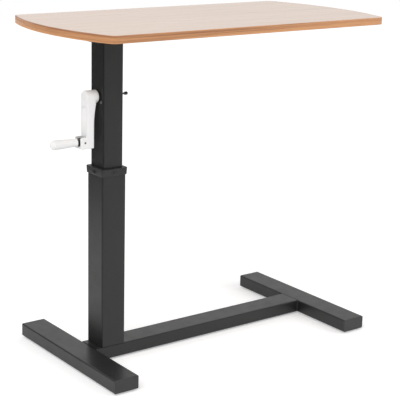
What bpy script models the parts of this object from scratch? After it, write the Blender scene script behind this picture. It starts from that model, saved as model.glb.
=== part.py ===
"""Overbed table: H-shaped floor frame, hand-cranked telescopic column and a board with bowed ends.

Lengths are in metres and +Z is up. The origin lies on the floor below the middle of the board. +X runs
along the board towards its free end, and the crank stands out of the column towards -X.
"""

import math

import bmesh
import bpy
from mathutils import Vector

# Fits between pieces
SEAT_GAP = 0.0003
RUN_GAP = 0.0004
END_CLEARANCE = 0.004

# Tabletop
TOP_LENGTH = 0.800
TOP_WIDTH = 0.400
TOP_THICKNESS = 0.016
TOP_HEIGHT = 0.750
END_BOW = 0.038
TOP_CORNER_RADIUS = 0.018
BAND_THICKNESS = 0.002
BAND_ARRIS = 0.0012

# Rail, cross plates and wood screws under the board
RAIL_WIDTH = 0.050
RAIL_HEIGHT = 0.020
RAIL_WALL = 0.0015
RAIL_INSET = 0.115
RAIL_TAIL = 0.010
PLATE_WIDTH = 0.040
PLATE_LENGTH = 0.260
PLATE_THICKNESS = 0.004
PLATE_CORNER_RADIUS = 0.008
PLATE_END_INSET = 0.045
WOOD_SCREW_EDGE = 0.011
WOOD_SCREW_RADIUS = 0.002
WOOD_SCREW_HEAD_RADIUS = 0.004
WOOD_SCREW_BITE = 0.010

# Floor frame
BASE_LENGTH = 0.710
FOOT_LENGTH = 0.400
FOOT_WIDTH = 0.060
BEAM_WIDTH = 0.060
FRAME_HEIGHT = 0.030
FRAME_WALL = 0.002
FRAME_CORNER_RADIUS = 0.003
CAP_FLANGE = 0.003
CAP_ARRIS = 0.001
CAP_PLUG = 0.014
CAP_WALL = 0.002
GLIDE_HEIGHT = 0.004
GLIDE_RADIUS = 0.013
GLIDE_DRAFT = 0.002
GLIDE_RECESS_RADIUS = 0.004
GLIDE_RECESS_DEPTH = 0.0015
GLIDE_INSET = 0.040

# Column tubes, guides and travel
INNER_SIZE = 0.050
INNER_WALL = 0.002
OUTER_WALL = 0.002
OUTER_LENGTH = 0.4025
COLUMN_CORNER_RADIUS = 0.003
POST_GAP = 0.015
SLEEVE_WALL = 0.0023
SLEEVE_DEPTH = 0.040
COLLAR_LIP = 0.003
COLLAR_SKIRT = 0.013
COLLAR_SKIRT_WALL = 0.0021
COLLAR_FLARE = 0.0008
COLLAR_SCREW_RADIUS = 0.0017
COLLAR_SCREW_HEAD_RADIUS = 0.003
COLLAR_SCREW_HEAD_HEIGHT = 0.002
SHOE_HEIGHT = 0.025
SHOE_LIP = 0.003
SHOE_HOLE = 0.038
SHOE_HOLE_RADIUS = 0.010
LIFT_DOWN = 0.110
LIFT_UP = 0.180

# Column foot: plate, bolts, nut pillar and nut
BASE_PLATE_THICKNESS = 0.008
POST_BOLT_OFFSET = 0.0195
POST_BOLT_RADIUS = 0.003
POST_BOLT_HEAD_RADIUS = 0.005
POST_BOLT_HEAD_HEIGHT = 0.005
BOLT_ACCESS_RADIUS = 0.007
PILLAR_RADIUS = 0.0125
PILLAR_WALL = 0.002
PILLAR_SEAT_DEPTH = 0.003
NUT_FLANGE_RADIUS = 0.016
NUT_FLANGE_HEIGHT = 0.005
NUT_BARREL = 0.025

# Gearbox and lead screw
CRANK_DROP = 0.1395
BRACKET_WIDTH = 0.042
CHEEK_THICKNESS = 0.0025
CHEEK_RISE = 0.016
WEB_THICKNESS = 0.005
GEAR_TEETH = 16
GEAR_HUB = 0.008
GEAR_HUB_RADIUS = 0.0085
GEAR_FACE = 0.0055
GEAR_BACKLASH = 0.0004
GEAR_ADDENDUM = 0.9
GEAR_DEDENDUM = 1.25
GEAR_PRESSURE_ANGLE = math.radians(20)
SCREW_RADIUS = 0.008
SCREW_JOURNAL_RADIUS = 0.005
SCREW_GEAR_RADIUS = 0.004
SCREW_SHOULDER_RADIUS = 0.0105
SCREW_SHOULDER_HEIGHT = 0.004
SCREW_RUNOUT = 0.006
BEARING_HEIGHT = 0.005
BEARING_RADIUS = 0.011
GEARBOX_SCREW_SIDE = 0.0165
GEARBOX_SCREW_DROP = 0.011
GEARBOX_SCREW_RADIUS = 0.0019
GEARBOX_SCREW_HEAD_RADIUS = 0.0032
GEARBOX_SCREW_HEAD_HEIGHT = 0.0022
GEARBOX_SCREW_TIP = 0.001

# Crank shaft and bushes
SHAFT_RADIUS = 0.005
SHAFT_GEAR_RADIUS = 0.004
SHAFT_DRIVE_SIZE = 0.0076
SHAFT_DRIVE_LENGTH = 0.020
SHAFT_STUB_RADIUS = 0.002
SHAFT_STUB_REACH = 0.051
END_NUT_SIZE = 0.0065
END_NUT_LENGTH = 0.006
BUSH_RADIUS = 0.007
ESCUTCHEON_RADIUS = 0.016
ESCUTCHEON_HEIGHT = 0.0025
FAR_BUSH_FLANGE_RADIUS = 0.0095
FAR_BUSH_FLANGE_HEIGHT = 0.002
HUB_SCREW_RADIUS = 0.002
HUB_SCREW_HEAD_RADIUS = 0.0042
HUB_SCREW_HEAD_HEIGHT = 0.0025
HUB_SCREW_BITE = 0.009
HUB_PLUG_HEIGHT = 0.002

# Crank arm, hinge pin, spindle and knob
CRANK_RADIUS = 0.095
HUB_RADIUS = 0.0145
ARM_WIDTH = 0.030
ARM_THICKNESS = 0.017
ARM_OFFSET = 0.0155
ARM_EDGE_RADIUS = 0.003
ARM_NECK_RISE = 0.005
ARM_NECK_LENGTH = 0.047
EAR_ABOVE_PIN = 0.0105
EAR_BELOW_PIN = 0.014
EAR_BEYOND_PIN = 0.0095
EAR_ROUNDING = 0.002
PIN_STAND = 0.0055
PIN_RADIUS = 0.0025
PIN_SETBACK = 0.0002
SLOT_CLEARANCE = 0.001
GROOVE_CLEARANCE = 0.0008
KNUCKLE_RADIUS = 0.0075
SPINDLE_RADIUS = 0.003
KNOB_STAND = 0.003
KNOB_LENGTH = 0.0625
KNOB_BASE_RADIUS = 0.0088
KNOB_TIP_RADIUS = 0.0105
KNOB_NOSE = 0.008
KNOB_WALL = 0.010

# Shares of a domed screw head: height of its rim, radius of its flat crown
HEAD_RIM = 0.55
HEAD_CROWN = 0.6

# Fineness of curved surfaces
CORNER_STEPS = 3
ROUND_STEPS = 4 * (CORNER_STEPS + 1)
FINE_STEPS = 24
SCREW_STEPS = 10
BOW_STEPS = 16
TOP_CORNER_STEPS = 5
ARRIS_STEPS = 2
KNOB_STEPS = 5
SHARP_RADIUS = 0.0004
LARGEST_ROUNDING = 0.45
SMOOTH_ANGLE = math.radians(35)

# Heights and places that follow from the sizes
BEAM_TOP = GLIDE_HEIGHT + FRAME_HEIGHT
OUTER_SIZE = INNER_SIZE + 2 * (RUN_GAP + SLEEVE_WALL + SEAT_GAP + OUTER_WALL)
OUTER_BORE = OUTER_SIZE - 2 * OUTER_WALL
INNER_BORE = INNER_SIZE - 2 * INNER_WALL
FOOT_X = BASE_LENGTH / 2 - FOOT_WIDTH / 2
COLUMN_X = -BASE_LENGTH / 2 + FOOT_WIDTH + POST_GAP + OUTER_SIZE / 2
OUTER_BOTTOM = BEAM_TOP + SEAT_GAP
OUTER_TOP = OUTER_BOTTOM + OUTER_LENGTH
BASE_PLATE_TOP = OUTER_BOTTOM + BASE_PLATE_THICKNESS
BOARD_UNDERSIDE = TOP_HEIGHT - TOP_THICKNESS
PLATE_TOP = BOARD_UNDERSIDE - SEAT_GAP
RAIL_TOP = PLATE_TOP - PLATE_THICKNESS - SEAT_GAP
RAIL_BOTTOM = RAIL_TOP - RAIL_HEIGHT
RAIL_START = COLUMN_X - INNER_SIZE / 2 - RAIL_TAIL
RAIL_LENGTH = TOP_LENGTH / 2 - RAIL_INSET - RAIL_START
INNER_TOP = RAIL_BOTTOM - SEAT_GAP
INNER_BOTTOM = BASE_PLATE_TOP + END_CLEARANCE + SHOE_LIP + SEAT_GAP + LIFT_DOWN
CRANK_Z = BOARD_UNDERSIDE - CRANK_DROP

# Distances along the crank shaft and along the lead screw, from the point where their axes meet
TUBE_FACE = INNER_SIZE / 2
BRACKET_FACE = INNER_BORE / 2 - SEAT_GAP
CHEEK_INSIDE = BRACKET_FACE - CHEEK_THICKNESS
GEAR_BACK = CHEEK_INSIDE - RUN_GAP
PITCH_RADIUS = GEAR_BACK - GEAR_HUB
WEB_TOP = CHEEK_INSIDE
WEB_BOTTOM = WEB_TOP + WEB_THICKNESS
BEARING_TOP = WEB_BOTTOM + SEAT_GAP
SHOULDER_TOP = BEARING_TOP + BEARING_HEIGHT + SEAT_GAP
SHOULDER_BOTTOM = SHOULDER_TOP + SCREW_SHOULDER_HEIGHT
ESCUTCHEON_FACE = TUBE_FACE + SEAT_GAP + ESCUTCHEON_HEIGHT
FAR_BUSH_FACE = TUBE_FACE + SEAT_GAP + FAR_BUSH_FLANGE_HEIGHT
HUB_INSIDE = ESCUTCHEON_FACE + RUN_GAP
DRIVE_END = HUB_INSIDE + SHAFT_DRIVE_LENGTH
ARM_INSIDE = TUBE_FACE + ARM_OFFSET
ARM_OUTSIDE = ARM_INSIDE + ARM_THICKNESS
PIN_REACH = ARM_OUTSIDE + PIN_STAND
NUT_TOP = CRANK_Z - SHOULDER_BOTTOM - LIFT_DOWN - END_CLEARANCE
PILLAR_TOP = NUT_TOP - NUT_FLANGE_HEIGHT - SEAT_GAP
SCREW_END = CRANK_Z - (PILLAR_TOP - NUT_BARREL - LIFT_UP - SCREW_RUNOUT)
KNOB_START = max(EAR_ABOVE_PIN, EAR_BEYOND_PIN) + KNOB_STAND
KNOB_END = KNOB_START + KNOB_LENGTH
SLOT_HALF = KNOB_BASE_RADIUS + SLOT_CLEARANCE
SLOT_FLOOR = KNUCKLE_RADIUS + SLOT_CLEARANCE

# Turns that point a piece's own +Z along a world axis
TOWARDS = {
    "+X": (0, math.pi / 2, 0),
    "-X": (0, -math.pi / 2, 0),
    "+Y": (-math.pi / 2, 0, 0),
    "-Y": (math.pi / 2, 0, 0),
    "+Z": (0, 0, 0),
    "-Z": (math.pi, 0, 0),
}


def clear_scene():
    """Remove every object, so that the model stands alone."""
    for item in list(bpy.data.objects):
        bpy.data.objects.remove(item)


def finish(name, colour, roughness, metallic=0.0):
    """Principled material of one plain finish."""
    material = bpy.data.materials.new(name)
    material.use_nodes = True
    shader = material.node_tree.nodes["Principled BSDF"]
    shader.inputs["Base Color"].default_value = (*colour, 1.0)
    shader.inputs["Roughness"].default_value = roughness
    shader.inputs["Metallic"].default_value = metallic
    return material


def circle(radius, count=ROUND_STEPS):
    """Points round a circle."""
    turns = [2 * math.pi * step / count for step in range(count)]
    return [(radius * math.cos(turn), radius * math.sin(turn)) for turn in turns]


def rounded_rectangle(width, depth, radius):
    """Points round a rectangle with round corners, of the same count as a circle's."""
    radius = max(min(radius, LARGEST_ROUNDING * width, LARGEST_ROUNDING * depth), SHARP_RADIUS)
    points = []
    for quarter, (side_x, side_y) in enumerate(((1, 1), (-1, 1), (-1, -1), (1, -1))):
        centre_x = side_x * (width / 2 - radius)
        centre_y = side_y * (depth / 2 - radius)
        for step in range(CORNER_STEPS + 1):
            turn = math.pi / 2 * (quarter + step / CORNER_STEPS)
            points.append((centre_x + radius * math.cos(turn), centre_y + radius * math.sin(turn)))
    return points


def square(size, radius):
    """Points round a square with round corners."""
    return rounded_rectangle(size, size, radius)


def hexagon(size, count=12):
    """Points round a hexagon of a given width across its flats."""
    points = []
    for step in range(count):
        turn = 2 * math.pi * step / count
        off_flat = (turn % (math.pi / 3)) - math.pi / 6
        reach = size / 2 / math.cos(off_flat)
        points.append((reach * math.cos(turn), reach * math.sin(turn)))
    return points


def board_outline(inset):
    """Outline of the board, drawn in parallel by an inset: straight sides, bowed ends, round corners."""
    half_width = TOP_WIDTH / 2
    bow_radius = (half_width**2 + END_BOW**2) / (2 * END_BOW)
    bow_centre = TOP_LENGTH / 2 - bow_radius
    corner_y = half_width - TOP_CORNER_RADIUS
    corner_x = bow_centre + math.sqrt((bow_radius - TOP_CORNER_RADIUS)**2 - corner_y**2)
    swing = math.atan2(corner_y, corner_x - bow_centre)
    corner = TOP_CORNER_RADIUS - inset
    free_end = []
    for step in range(TOP_CORNER_STEPS):
        turn = -math.pi / 2 + (math.pi / 2 - swing) * step / TOP_CORNER_STEPS
        free_end.append((corner_x + corner * math.cos(turn), -corner_y + corner * math.sin(turn)))
    for step in range(BOW_STEPS + 1):
        turn = -swing + 2 * swing * step / BOW_STEPS
        bow = bow_radius - inset
        free_end.append((bow_centre + bow * math.cos(turn), bow * math.sin(turn)))
    for step in range(1, TOP_CORNER_STEPS + 1):
        turn = swing + (math.pi / 2 - swing) * step / TOP_CORNER_STEPS
        free_end.append((corner_x + corner * math.cos(turn), corner_y + corner * math.sin(turn)))
    return free_end + [(-x, -y) for x, y in free_end]


def loft(loops, ring=False):
    """Closed mesh through loops of equal count; a ring joins the last loop to the first."""
    mesh = bmesh.new()
    rows = [[mesh.verts.new(point) for point in loop] for loop in loops]
    pairs = list(zip(rows, rows[1:]))
    if ring:
        pairs.append((rows[-1], rows[0]))
    else:
        mesh.faces.new(rows[0])
        mesh.faces.new(rows[-1])
    for low, high in pairs:
        for first, second in zip(range(-1, len(low) - 1), range(len(low))):
            mesh.faces.new((low[first], low[second], high[second], high[first]))
    bmesh.ops.recalc_face_normals(mesh, faces=mesh.faces)
    return mesh


def stack(levels, ring=False):
    """Closed mesh through flat outlines, each given with its height."""
    return loft([[Vector((x, y, height)) for x, y in outline] for outline, height in levels], ring)


def turned(profile, ring=False, count=ROUND_STEPS):
    """Closed turned mesh through radii, each given with its height."""
    return stack([(circle(radius, count), height) for radius, height in profile], ring)


def rectangular_tube(width, depth, wall, radius, length):
    """Open-ended tube along +Z."""
    outside = rounded_rectangle(width, depth, radius)
    inside = rounded_rectangle(width - 2 * wall, depth - 2 * wall, radius - wall)
    return stack([(outside, 0), (outside, length), (inside, length), (inside, 0)], ring=True)


def end_cap(width, depth, wall, radius):
    """Tube plug along +Z: a hollow plug inside the tube and a flange of the tube's own outline."""
    plug_width = width - 2 * (wall + SEAT_GAP)
    plug_depth = depth - 2 * (wall + SEAT_GAP)
    plug = rounded_rectangle(plug_width, plug_depth, radius - wall + SEAT_GAP)
    hollow = rounded_rectangle(plug_width - 2 * CAP_WALL, plug_depth - 2 * CAP_WALL, SHARP_RADIUS)
    face = rounded_rectangle(width - 2 * CAP_ARRIS, depth - 2 * CAP_ARRIS, radius)
    rim = rounded_rectangle(width, depth, radius)
    return stack([
        (hollow, 0),
        (hollow, -CAP_PLUG),
        (plug, -CAP_PLUG),
        (plug, SEAT_GAP),
        (rim, SEAT_GAP),
        (rim, CAP_FLANGE - CAP_ARRIS),
        (face, CAP_FLANGE),
    ])


def pan_screw(radius, length, head_radius, head_height):
    """Screw along +Z with a domed head that seats on the plane of its origin."""
    return turned([
        (radius, -length),
        (radius, SEAT_GAP),
        (head_radius, SEAT_GAP),
        (head_radius, head_height * HEAD_RIM),
        (head_radius * HEAD_CROWN, head_height),
    ], count=SCREW_STEPS)


def bevel_gear(bore_radius, first_tooth):
    """Straight mitre gear along +Z whose pitch cone has its tip at the origin.

    A tooth is an involute on the developed back cone. It is wrapped round the cone, and drawn in towards
    the tip of the pitch cone over the face of the gear.
    """
    cone = math.sqrt(2)
    pitch = PITCH_RADIUS * cone
    module = 2 * PITCH_RADIUS / GEAR_TEETH
    base = pitch * math.cos(GEAR_PRESSURE_ANGLE)
    half_tooth = math.pi / (2 * GEAR_TEETH * cone) - GEAR_BACKLASH / (2 * pitch)

    def half_angle(radius):
        """Half the tooth's angle at a radius of the developed cone."""
        slope = math.acos(min(1.0, base / radius))
        involute = math.tan(GEAR_PRESSURE_ANGLE) - GEAR_PRESSURE_ANGLE - (math.tan(slope) - slope)
        return half_tooth + involute

    radii = (pitch - GEAR_DEDENDUM * module, pitch, pitch + GEAR_ADDENDUM * module)
    flank = [(radius, half_angle(radius)) for radius in radii]
    tooth = [(radius, -angle) for radius, angle in flank] + flank[::-1]
    heel = []
    for number in range(GEAR_TEETH):
        centre = first_tooth + 2 * math.pi * number / GEAR_TEETH
        heel += [(radius / cone, centre + angle * cone) for radius, angle in tooth]
    drawn_in = 1 - GEAR_FACE / pitch

    def back_cone(radius, turn):
        """Point of the back cone."""
        return Vector((radius * math.cos(turn), radius * math.sin(turn), 2 * PITCH_RADIUS - radius))

    def level(radius, height):
        """Circle with a point below each point of the teeth."""
        return [Vector((radius * math.cos(turn), radius * math.sin(turn), height)) for _, turn in heel]

    heel_loop = [back_cone(radius, turn) for radius, turn in heel]
    toe_loop = [point * drawn_in for point in heel_loop]
    toe_height = (2 * PITCH_RADIUS - radii[0] / cone) * drawn_in
    return loft([
        toe_loop,
        heel_loop,
        level(GEAR_HUB_RADIUS, GEAR_BACK),
        level(bore_radius, GEAR_BACK),
        level(bore_radius, toe_height),
    ], ring=True)


def add_empty(name, location, rotation=(0, 0, 0), parent=None):
    """Empty that marks an axis and carries the pieces on it."""
    empty = bpy.data.objects.new(name, None)
    bpy.context.collection.objects.link(empty)
    empty.location = location
    empty.rotation_euler = rotation
    empty.parent = parent
    return empty


def add_piece(name, mesh, material, location=(0, 0, 0), rotation=(0, 0, 0), parent=None):
    """Named object from a mesh, with its finish and its place."""
    data = bpy.data.meshes.new(name)
    mesh.to_mesh(data)
    mesh.free()
    if material is not None:
        data.materials.append(material)
    data.shade_smooth()
    data.set_sharp_from_angle(angle=SMOOTH_ANGLE)
    piece = bpy.data.objects.new(name, data)
    bpy.context.collection.objects.link(piece)
    piece.location = location
    piece.rotation_euler = rotation
    piece.parent = parent
    return piece


def add_tool(name, mesh, location=(0, 0, 0), rotation=(0, 0, 0), parent=None):
    """Hidden object that cuts or joins another."""
    tool = add_piece(name, mesh, None, location, rotation, parent)
    tool.hide_render = True
    tool.display_type = "WIRE"
    return tool


def combine(piece, tool, operation="DIFFERENCE"):
    """Boolean of a piece with a hidden tool."""
    modifier = piece.modifiers.new(tool.name, "BOOLEAN")
    modifier.operation = operation
    modifier.solver = "EXACT"
    modifier.object = tool


def even_shading():
    """Weigh the normals of every shown piece by face area, so that flat faces with holes shade flat."""
    for piece in bpy.data.objects:
        if piece.type == "MESH" and not piece.hide_render:
            piece.modifiers.new("even_shading", "WEIGHTED_NORMAL").keep_sharp = True


def build_floor_frame(steel, plastic):
    """Two feet and the beam between them, with end caps and glides."""
    tube_length = FOOT_LENGTH - 2 * (CAP_FLANGE + SEAT_GAP)
    frame_mid = GLIDE_HEIGHT + FRAME_HEIGHT / 2
    for foot, side_x in (("post", -1), ("free", 1)):
        add_piece(
            f"{foot}_foot_tube",
            rectangular_tube(FOOT_WIDTH, FRAME_HEIGHT, FRAME_WALL, FRAME_CORNER_RADIUS, tube_length),
            steel,
            (side_x * FOOT_X, -tube_length / 2, frame_mid),
            TOWARDS["+Y"],
        )
        for end, side_y, way in (("near", -1, "-Y"), ("far", 1, "+Y")):
            add_piece(
                f"{foot}_foot_cap_{end}",
                end_cap(FOOT_WIDTH, FRAME_HEIGHT, FRAME_WALL, FRAME_CORNER_RADIUS),
                plastic,
                (side_x * FOOT_X, side_y * tube_length / 2, frame_mid),
                TOWARDS[way],
            )
            add_piece(
                f"{foot}_foot_glide_{end}",
                turned([
                    (GLIDE_RECESS_RADIUS, GLIDE_RECESS_DEPTH),
                    (GLIDE_RECESS_RADIUS, 0),
                    (GLIDE_RADIUS - GLIDE_DRAFT, 0),
                    (GLIDE_RADIUS, GLIDE_HEIGHT / 2),
                    (GLIDE_RADIUS, GLIDE_HEIGHT - SEAT_GAP),
                ]),
                plastic,
                (side_x * FOOT_X, side_y * (FOOT_LENGTH / 2 - GLIDE_INSET), 0),
            )
    beam_length = BASE_LENGTH - 2 * (FOOT_WIDTH + SEAT_GAP)
    beam = add_piece(
        "base_beam_tube",
        rectangular_tube(FRAME_HEIGHT, BEAM_WIDTH, FRAME_WALL, FRAME_CORNER_RADIUS, beam_length),
        steel,
        (-beam_length / 2, 0, frame_mid),
        TOWARDS["+X"],
    )
    for side, way in (("outer", -1), ("inner", 1)):
        bolt_x = COLUMN_X + way * POST_BOLT_OFFSET
        combine(beam, add_tool(
            f"beam_bolt_hole_{side}",
            turned([
                (BOLT_ACCESS_RADIUS, -FRAME_WALL),
                (BOLT_ACCESS_RADIUS, FRAME_HEIGHT / 2),
                (POST_BOLT_RADIUS + SEAT_GAP, FRAME_HEIGHT / 2),
                (POST_BOLT_RADIUS + SEAT_GAP, FRAME_HEIGHT + FRAME_WALL),
            ]),
            (bolt_x, 0, GLIDE_HEIGHT),
        ))


def build_outer_column(steel, plastic, zinc, dark, brass):
    """Outer tube on the beam with its plate, bolts, nut pillar and guide collar."""
    tube = add_piece(
        "outer_post_tube",
        rectangular_tube(OUTER_SIZE, OUTER_SIZE, OUTER_WALL, COLUMN_CORNER_RADIUS, OUTER_LENGTH),
        steel,
        (COLUMN_X, 0, OUTER_BOTTOM),
    )
    plate_outline = square(OUTER_BORE - 2 * SEAT_GAP, COLUMN_CORNER_RADIUS)
    plate = add_piece(
        "post_base_plate",
        stack([(plate_outline, 0), (plate_outline, BASE_PLATE_THICKNESS)]),
        steel,
        (COLUMN_X, 0, OUTER_BOTTOM),
    )
    seat_floor = BASE_PLATE_TOP - PILLAR_SEAT_DEPTH
    combine(plate, add_tool(
        "pillar_seat",
        turned([(PILLAR_RADIUS + SEAT_GAP, 0), (PILLAR_RADIUS + SEAT_GAP, 2 * PILLAR_SEAT_DEPTH)]),
        (COLUMN_X, 0, seat_floor),
    ))
    bolt_grip = FRAME_WALL + SEAT_GAP + BASE_PLATE_THICKNESS
    for side, way in (("outer", -1), ("inner", 1)):
        bolt_x = COLUMN_X + way * POST_BOLT_OFFSET
        combine(plate, add_tool(
            f"plate_bolt_hole_{side}",
            turned([
                (POST_BOLT_RADIUS + SEAT_GAP, -BASE_PLATE_THICKNESS),
                (POST_BOLT_RADIUS + SEAT_GAP, 2 * BASE_PLATE_THICKNESS),
            ]),
            (bolt_x, 0, OUTER_BOTTOM),
        ))
        add_piece(
            f"post_bolt_{side}",
            pan_screw(POST_BOLT_RADIUS, bolt_grip, POST_BOLT_HEAD_RADIUS, POST_BOLT_HEAD_HEIGHT),
            zinc,
            (bolt_x, 0, BEAM_TOP - FRAME_WALL),
            TOWARDS["-Z"],
        )
    pillar_bottom = seat_floor + SEAT_GAP
    pillar_bore = PILLAR_RADIUS - PILLAR_WALL
    add_piece(
        "nut_pillar",
        turned([
            (PILLAR_RADIUS, pillar_bottom),
            (PILLAR_RADIUS, PILLAR_TOP),
            (pillar_bore, PILLAR_TOP),
            (pillar_bore, pillar_bottom),
        ], ring=True),
        steel,
        (COLUMN_X, 0, 0),
    )
    nut_bore = SCREW_RADIUS + RUN_GAP
    add_piece(
        "lift_nut",
        turned([
            (nut_bore, PILLAR_TOP - NUT_BARREL),
            (pillar_bore - SEAT_GAP, PILLAR_TOP - NUT_BARREL),
            (pillar_bore - SEAT_GAP, PILLAR_TOP + SEAT_GAP),
            (NUT_FLANGE_RADIUS, PILLAR_TOP + SEAT_GAP),
            (NUT_FLANGE_RADIUS, NUT_TOP),
            (nut_bore, NUT_TOP),
        ], ring=True),
        brass,
        (COLUMN_X, 0, 0),
    )
    build_guide_collar(tube, plastic, dark)


def build_guide_collar(tube, plastic, dark):
    """Collar over the outer tube's end: flared skirt outside, guide sleeve inside, a screw in each face."""
    corner = COLUMN_CORNER_RADIUS
    sleeve_outside = square(OUTER_BORE - 2 * SEAT_GAP, corner - OUTER_WALL + SEAT_GAP)
    sleeve_inside = square(INNER_SIZE + 2 * RUN_GAP, corner + RUN_GAP)
    skirt_inside_size = OUTER_SIZE + 2 * SEAT_GAP
    skirt_size = skirt_inside_size + 2 * COLLAR_SKIRT_WALL
    skirt_inside = square(skirt_inside_size, corner + SEAT_GAP)
    skirt_foot = square(skirt_size, corner + COLLAR_SKIRT_WALL)
    flared = square(skirt_size + 2 * COLLAR_FLARE, corner + COLLAR_SKIRT_WALL)
    top_edge = square(skirt_size, corner + COLLAR_SKIRT_WALL)
    collar = add_piece(
        "guide_collar",
        stack([
            (sleeve_inside, -SLEEVE_DEPTH),
            (sleeve_outside, -SLEEVE_DEPTH),
            (sleeve_outside, SEAT_GAP),
            (skirt_inside, SEAT_GAP),
            (skirt_inside, -COLLAR_SKIRT),
            (skirt_foot, -COLLAR_SKIRT),
            (flared, COLLAR_LIP - COLLAR_FLARE),
            (top_edge, COLLAR_LIP),
            (sleeve_inside, COLLAR_LIP),
        ], ring=True),
        plastic,
        (COLUMN_X, 0, OUTER_TOP),
    )
    screw_z = OUTER_TOP - COLLAR_SKIRT / 2
    face = (skirt_size + COLLAR_FLARE) / 2
    tip = INNER_SIZE / 2 + RUN_GAP + SLEEVE_WALL / 3
    for number, (way, x, y) in enumerate((("-X", -1, 0), ("+X", 1, 0), ("-Y", 0, -1), ("+Y", 0, 1)), 1):
        hole = add_tool(
            f"collar_screw_hole_{number}",
            turned([
                (COLLAR_SCREW_RADIUS + SEAT_GAP, tip - SLEEVE_WALL),
                (COLLAR_SCREW_RADIUS + SEAT_GAP, face + COLLAR_SCREW_HEAD_HEIGHT),
            ]),
            (COLUMN_X, 0, screw_z),
            TOWARDS[way],
        )
        combine(tube, hole)
        combine(collar, hole)
        add_piece(
            f"collar_screw_{number}",
            pan_screw(COLLAR_SCREW_RADIUS, face - tip, COLLAR_SCREW_HEAD_RADIUS, COLLAR_SCREW_HEAD_HEIGHT),
            dark,
            (COLUMN_X + x * face, y * face, screw_z),
            TOWARDS[way],
        )


def build_inner_column(lift, steel, plastic):
    """Inner tube with the guide shoe at its lower end; returns the tube."""
    tube = add_piece(
        "inner_post_tube",
        rectangular_tube(INNER_SIZE, INNER_SIZE, INNER_WALL, COLUMN_CORNER_RADIUS, INNER_TOP - INNER_BOTTOM),
        steel,
        (0, 0, INNER_BOTTOM),
        parent=lift,
    )
    shoe_outside = square(OUTER_BORE - 2 * RUN_GAP, COLUMN_CORNER_RADIUS)
    shoe_inside = square(INNER_SIZE + 2 * SEAT_GAP, COLUMN_CORNER_RADIUS + SEAT_GAP)
    shoe_hole = square(SHOE_HOLE, SHOE_HOLE_RADIUS)
    add_piece(
        "lower_guide_shoe",
        stack([
            (shoe_hole, -SEAT_GAP - SHOE_LIP),
            (shoe_outside, -SEAT_GAP - SHOE_LIP),
            (shoe_outside, SHOE_HEIGHT),
            (shoe_inside, SHOE_HEIGHT),
            (shoe_inside, -SEAT_GAP),
            (shoe_hole, -SEAT_GAP),
        ], ring=True),
        plastic,
        (0, 0, INNER_BOTTOM),
        parent=lift,
    )
    return tube


def build_top(lift, steel, plastic, zinc, laminate, edging):
    """Board with its edge band, on a rail with two cross plates and wood screws."""
    add_piece(
        "top_rail_tube",
        rectangular_tube(RAIL_HEIGHT, RAIL_WIDTH, RAIL_WALL, FRAME_CORNER_RADIUS, RAIL_LENGTH),
        steel,
        (RAIL_START - COLUMN_X, 0, RAIL_TOP - RAIL_HEIGHT / 2),
        TOWARDS["+X"],
        lift,
    )
    for end, along, way in (("post", 0, "-X"), ("free", RAIL_LENGTH, "+X")):
        add_piece(
            f"top_rail_cap_{end}",
            end_cap(RAIL_HEIGHT, RAIL_WIDTH, RAIL_WALL, FRAME_CORNER_RADIUS),
            plastic,
            (RAIL_START + along - COLUMN_X, 0, RAIL_TOP - RAIL_HEIGHT / 2),
            TOWARDS[way],
            lift,
        )
    inside = board_outline(BAND_THICKNESS + SEAT_GAP)
    board = add_piece(
        "tabletop_board",
        stack([(inside, BOARD_UNDERSIDE), (inside, TOP_HEIGHT)]),
        laminate,
        (-COLUMN_X, 0, 0),
        parent=lift,
    )
    lower = []
    for step in range(ARRIS_STEPS + 1):
        turn = math.pi / 2 * step / ARRIS_STEPS
        outline = board_outline(BAND_ARRIS * (1 - math.sin(turn)))
        lower.append((outline, BOARD_UNDERSIDE + BAND_ARRIS * (1 - math.cos(turn))))
    upper = [(outline, TOP_HEIGHT + BOARD_UNDERSIDE - height) for outline, height in reversed(lower)]
    band = board_outline(BAND_THICKNESS)
    add_piece(
        "edge_band",
        stack([(band, BOARD_UNDERSIDE)] + lower + upper + [(band, TOP_HEIGHT)], ring=True),
        edging,
        (-COLUMN_X, 0, 0),
        parent=lift,
    )
    plate_outline = rounded_rectangle(PLATE_WIDTH, PLATE_LENGTH, PLATE_CORNER_RADIUS)
    free_plate_x = RAIL_START + RAIL_LENGTH - PLATE_END_INSET - COLUMN_X
    for end, plate_x in (("post", 0.0), ("free", free_plate_x)):
        plate = add_piece(
            f"cross_plate_{end}",
            stack([(plate_outline, -PLATE_THICKNESS), (plate_outline, 0)]),
            steel,
            (plate_x, 0, PLATE_TOP),
            parent=lift,
        )
        add_wood_screws(lift, end, plate_x, plate, board, zinc)


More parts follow.
